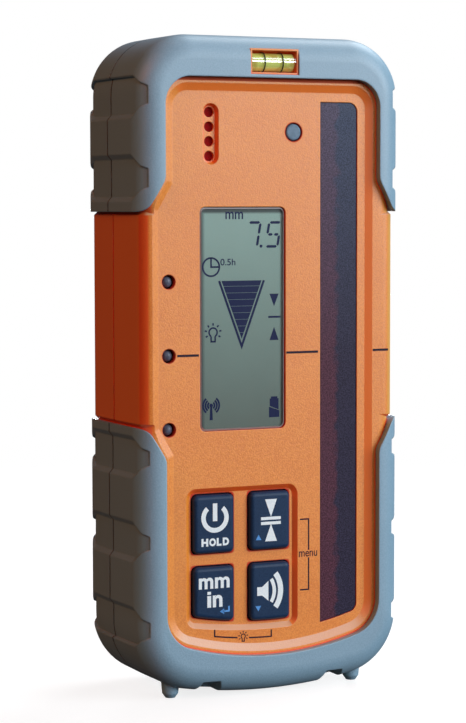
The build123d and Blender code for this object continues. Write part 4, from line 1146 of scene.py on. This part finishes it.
HORN_X = (-4.1, -2.7, -0.95)
HORN_BACK = (-0.8, 1.4)
HORN_FRONT = (-2.25, 2.85)
WAVES_MIDDLE = (-4.7, 0.33)
NEAR_WAVE = (5.9, 0.97, -33.0, 33.0)
FAR_WAVE = (7.93, 1.46, -37.0, 37.0)


def make_key_signs(white, blue):
    """White signs on the four keys, and the small blue ones of their second uses."""
    power = sign_on("power_key", KEY_SHIFT)
    power.shape(band(*POWER_MIDDLE, POWER_R, POWER_STROKE, *POWER_ARC))
    power.shape(block(*POWER_BAR))
    for letter, x_range in zip("HOLD", HOLD_LETTERS):
        power.words(letter, x_range, HOLD_Z, HOLD_WEIGHT)
    power.piece("power_sign", "power_key", white)

    grade = sign_on("grade_key", KEY_SHIFT)
    for base_and_tip in (LEVEL_UPPER, LEVEL_LOWER):
        arrow(grade, LEVEL_X, *base_and_tip, LEVEL_HALF)
    for z_range in LEVEL_BARS_Z:
        grade.shape(block(LEVEL_BAR_X, z_range))
    grade.piece("grade_sign", "grade_key", white)
    up = sign_on("grade_key", KEY_SHIFT)
    arrow(up, *SMALL_UP, SMALL_HALF)
    up.piece("grade_up_sign", "grade_key", blue)

    units = sign_on("units_key", KEY_SHIFT)
    for x_range in MM_LETTERS:
        units.words("m", x_range, MM_Z, UNITS_WEIGHT)
    units.shape(block(*INCH_STEM))
    units.shape(block(*INCH_DOT))
    units.words("n", *INCH_N, UNITS_WEIGHT)
    units.piece("units_sign", "units_key", white)
    enter = sign_on("units_key", KEY_SHIFT)
    left, right = ENTER_X
    enter.line([(right, ENTER_TOP), (right, ENTER_Z), (left, ENTER_Z)], ENTER_STROKE)
    head = [(ENTER_HEAD, ENTER_Z + ENTER_HALF), (ENTER_HEAD, ENTER_Z - ENTER_HALF)]
    enter.shape([(ENTER_TIP, ENTER_Z), *head])
    enter.piece("units_enter_sign", "units_key", blue)

    sound = sign_on("sound_key", KEY_SHIFT)
    (low, high), (foot, top) = HORN_BACK, HORN_FRONT
    back, neck, mouth = HORN_X
    sound.shape([(back, low), (neck, low), (mouth, foot), (mouth, top), (neck, high), (back, high)])
    for wave in (NEAR_WAVE, FAR_WAVE):
        sound.shape(band(*WAVES_MIDDLE, *wave))
    sound.piece("sound_sign", "sound_key", white)
    down = sign_on("sound_key", KEY_SHIFT)
    arrow(down, *SMALL_DOWN, SMALL_HALF)
    down.piece("sound_down_sign", "sound_key", blue)


def make_signs():
    ink = printed("dark_ink", SIGN_DARK, SIGN_DARK)
    white = printed("white_ink", SIGN_WHITE, SIGN_WHITE_DEEP)
    blue = printed("blue_ink", SIGN_BLUE, SIGN_BLUE_DEEP)
    make_display()
    make_face_marks(ink)
    make_brackets(ink)
    make_key_signs(white, blue)


def floor_pale(name):
    """Pale sweep that fades into the backdrop away from the object."""
    material, tree, shader = principled(name, Roughness=0.8, Specular_IOR_Level=0.1)
    place = place_of(tree)
    fleck = noise(tree, place, 60.0, 3.0)
    base = blend(tree, fleck, rgba(FLOOR_DEEP), rgba(FLOOR_LIGHT))
    feed(tree, shader.inputs["Base Color"], base)
    away = node(tree, "VectorMath", {0: place}, operation="LENGTH").outputs["Value"]
    feed(tree, shader.inputs["Alpha"], remap(tree, away, FLOOR_SOLID_R, FLOOR_R, 1.0, 0.0))
    shader.inputs["Emission Color"].default_value = rgba(BACKDROP)
    shader.inputs["Emission Strength"].default_value = FLOOR_GLOW
    return material


def make_floor():
    mesh = bmesh.new()
    bmesh.ops.create_circle(mesh, cap_ends=True, radius=FLOOR_R, segments=FLOOR_SIDES)
    data = bpy.data.meshes.new("floor")
    mesh.to_mesh(data)
    mesh.free()
    data.materials.append(floor_pale("floor_pale"))
    floor = bpy.data.objects.new("floor", data)
    floor.location.z = FLOOR_Z
    floor.visible_diffuse = False
    floor.visible_glossy = False
    bpy.context.scene.collection.objects.link(floor)


# Lights: turn to the right of the front and rise, in degrees, width and height in metres, power in watts and
# colour, all at one distance from the object
LIGHT_DISTANCE = 2.0
LIGHTS = {
    "key_light": (40.0, 13.0, (1.4, 0.65), 28.0, (0.84, 0.93, 1.0)),
    "front_light": (-6.0, 16.0, (0.6, 0.5), 4.6, (0.82, 0.93, 1.0)),
    "upper_light": (46.0, 36.0, (0.9, 0.9), 12.0, (0.82, 0.93, 1.0)),
    "back_light": (115.0, 48.0, (1.2, 1.0), 26.0, (0.90, 0.96, 1.0)),
    "rear_light": (155.0, 1.0, (0.5, 0.4), 20.0, (0.90, 0.96, 1.0)),
    "warm_fill": (-72.0, 32.0, (1.2, 1.0), 10.5, (1.0, 0.26, 0.07)),
}


def softbox(name, turn, rise, size, power, colour):
    """Rectangular area light aimed at the object."""
    light = bpy.data.lights.new(name, "AREA")
    light.shape = "RECTANGLE"
    light.size, light.size_y = size
    light.energy = power
    light.color = colour
    made = bpy.data.objects.new(name, light)
    turn, rise = radians(turn), radians(rise)
    away = Vector((sin(turn) * cos(rise), -cos(turn) * cos(rise), sin(rise)))
    made.location = AIM + away * LIGHT_DISTANCE
    made.rotation_euler = (-away).to_track_quat("-Z", "Y").to_euler()
    bpy.context.scene.collection.objects.link(made)


def make_world():
    """Pale backdrop to the eye, weak fill on the object."""
    world = bpy.data.worlds.new("studio")
    world.use_nodes = True
    tree = world.node_tree
    tree.nodes.clear()
    seen = node(tree, "LightPath").outputs["Is Camera Ray"]
    shown = node(tree, "Background", {"Color": rgba(BACKDROP)})
    fill = node(tree, "Background", {"Color": rgba(WORLD_FILL)})
    mixed = node(tree, "MixShader", {0: seen, 1: fill.outputs[0], 2: shown.outputs[0]})
    output = node(tree, "OutputWorld")
    feed(tree, output.inputs["Surface"], mixed.outputs[0])
    bpy.context.scene.world = world


def make_lights():
    for name, settings in LIGHTS.items():
        softbox(name, *settings)


def make_camera():
    data = bpy.data.cameras.new("photo_camera")
    data.sensor_fit = "VERTICAL"
    data.sensor_height = SENSOR
    data.lens = LENS
    camera = bpy.data.objects.new("photo_camera", data)
    turn = CAMERA_LOOK.to_track_quat("-Z", "Y").to_matrix().to_4x4()
    camera.matrix_world = Matrix.Translation(CAMERA_AT) @ turn @ Matrix.Rotation(CAMERA_ROLL, 4, "Z")
    bpy.context.scene.collection.objects.link(camera)
    bpy.context.scene.camera = camera


bpy.context.scene.view_settings.view_transform = "Standard"
dress_nodes()
make_signs()
make_floor()
make_world()
make_lights()
make_camera()
bpy.context.view_layer.update()
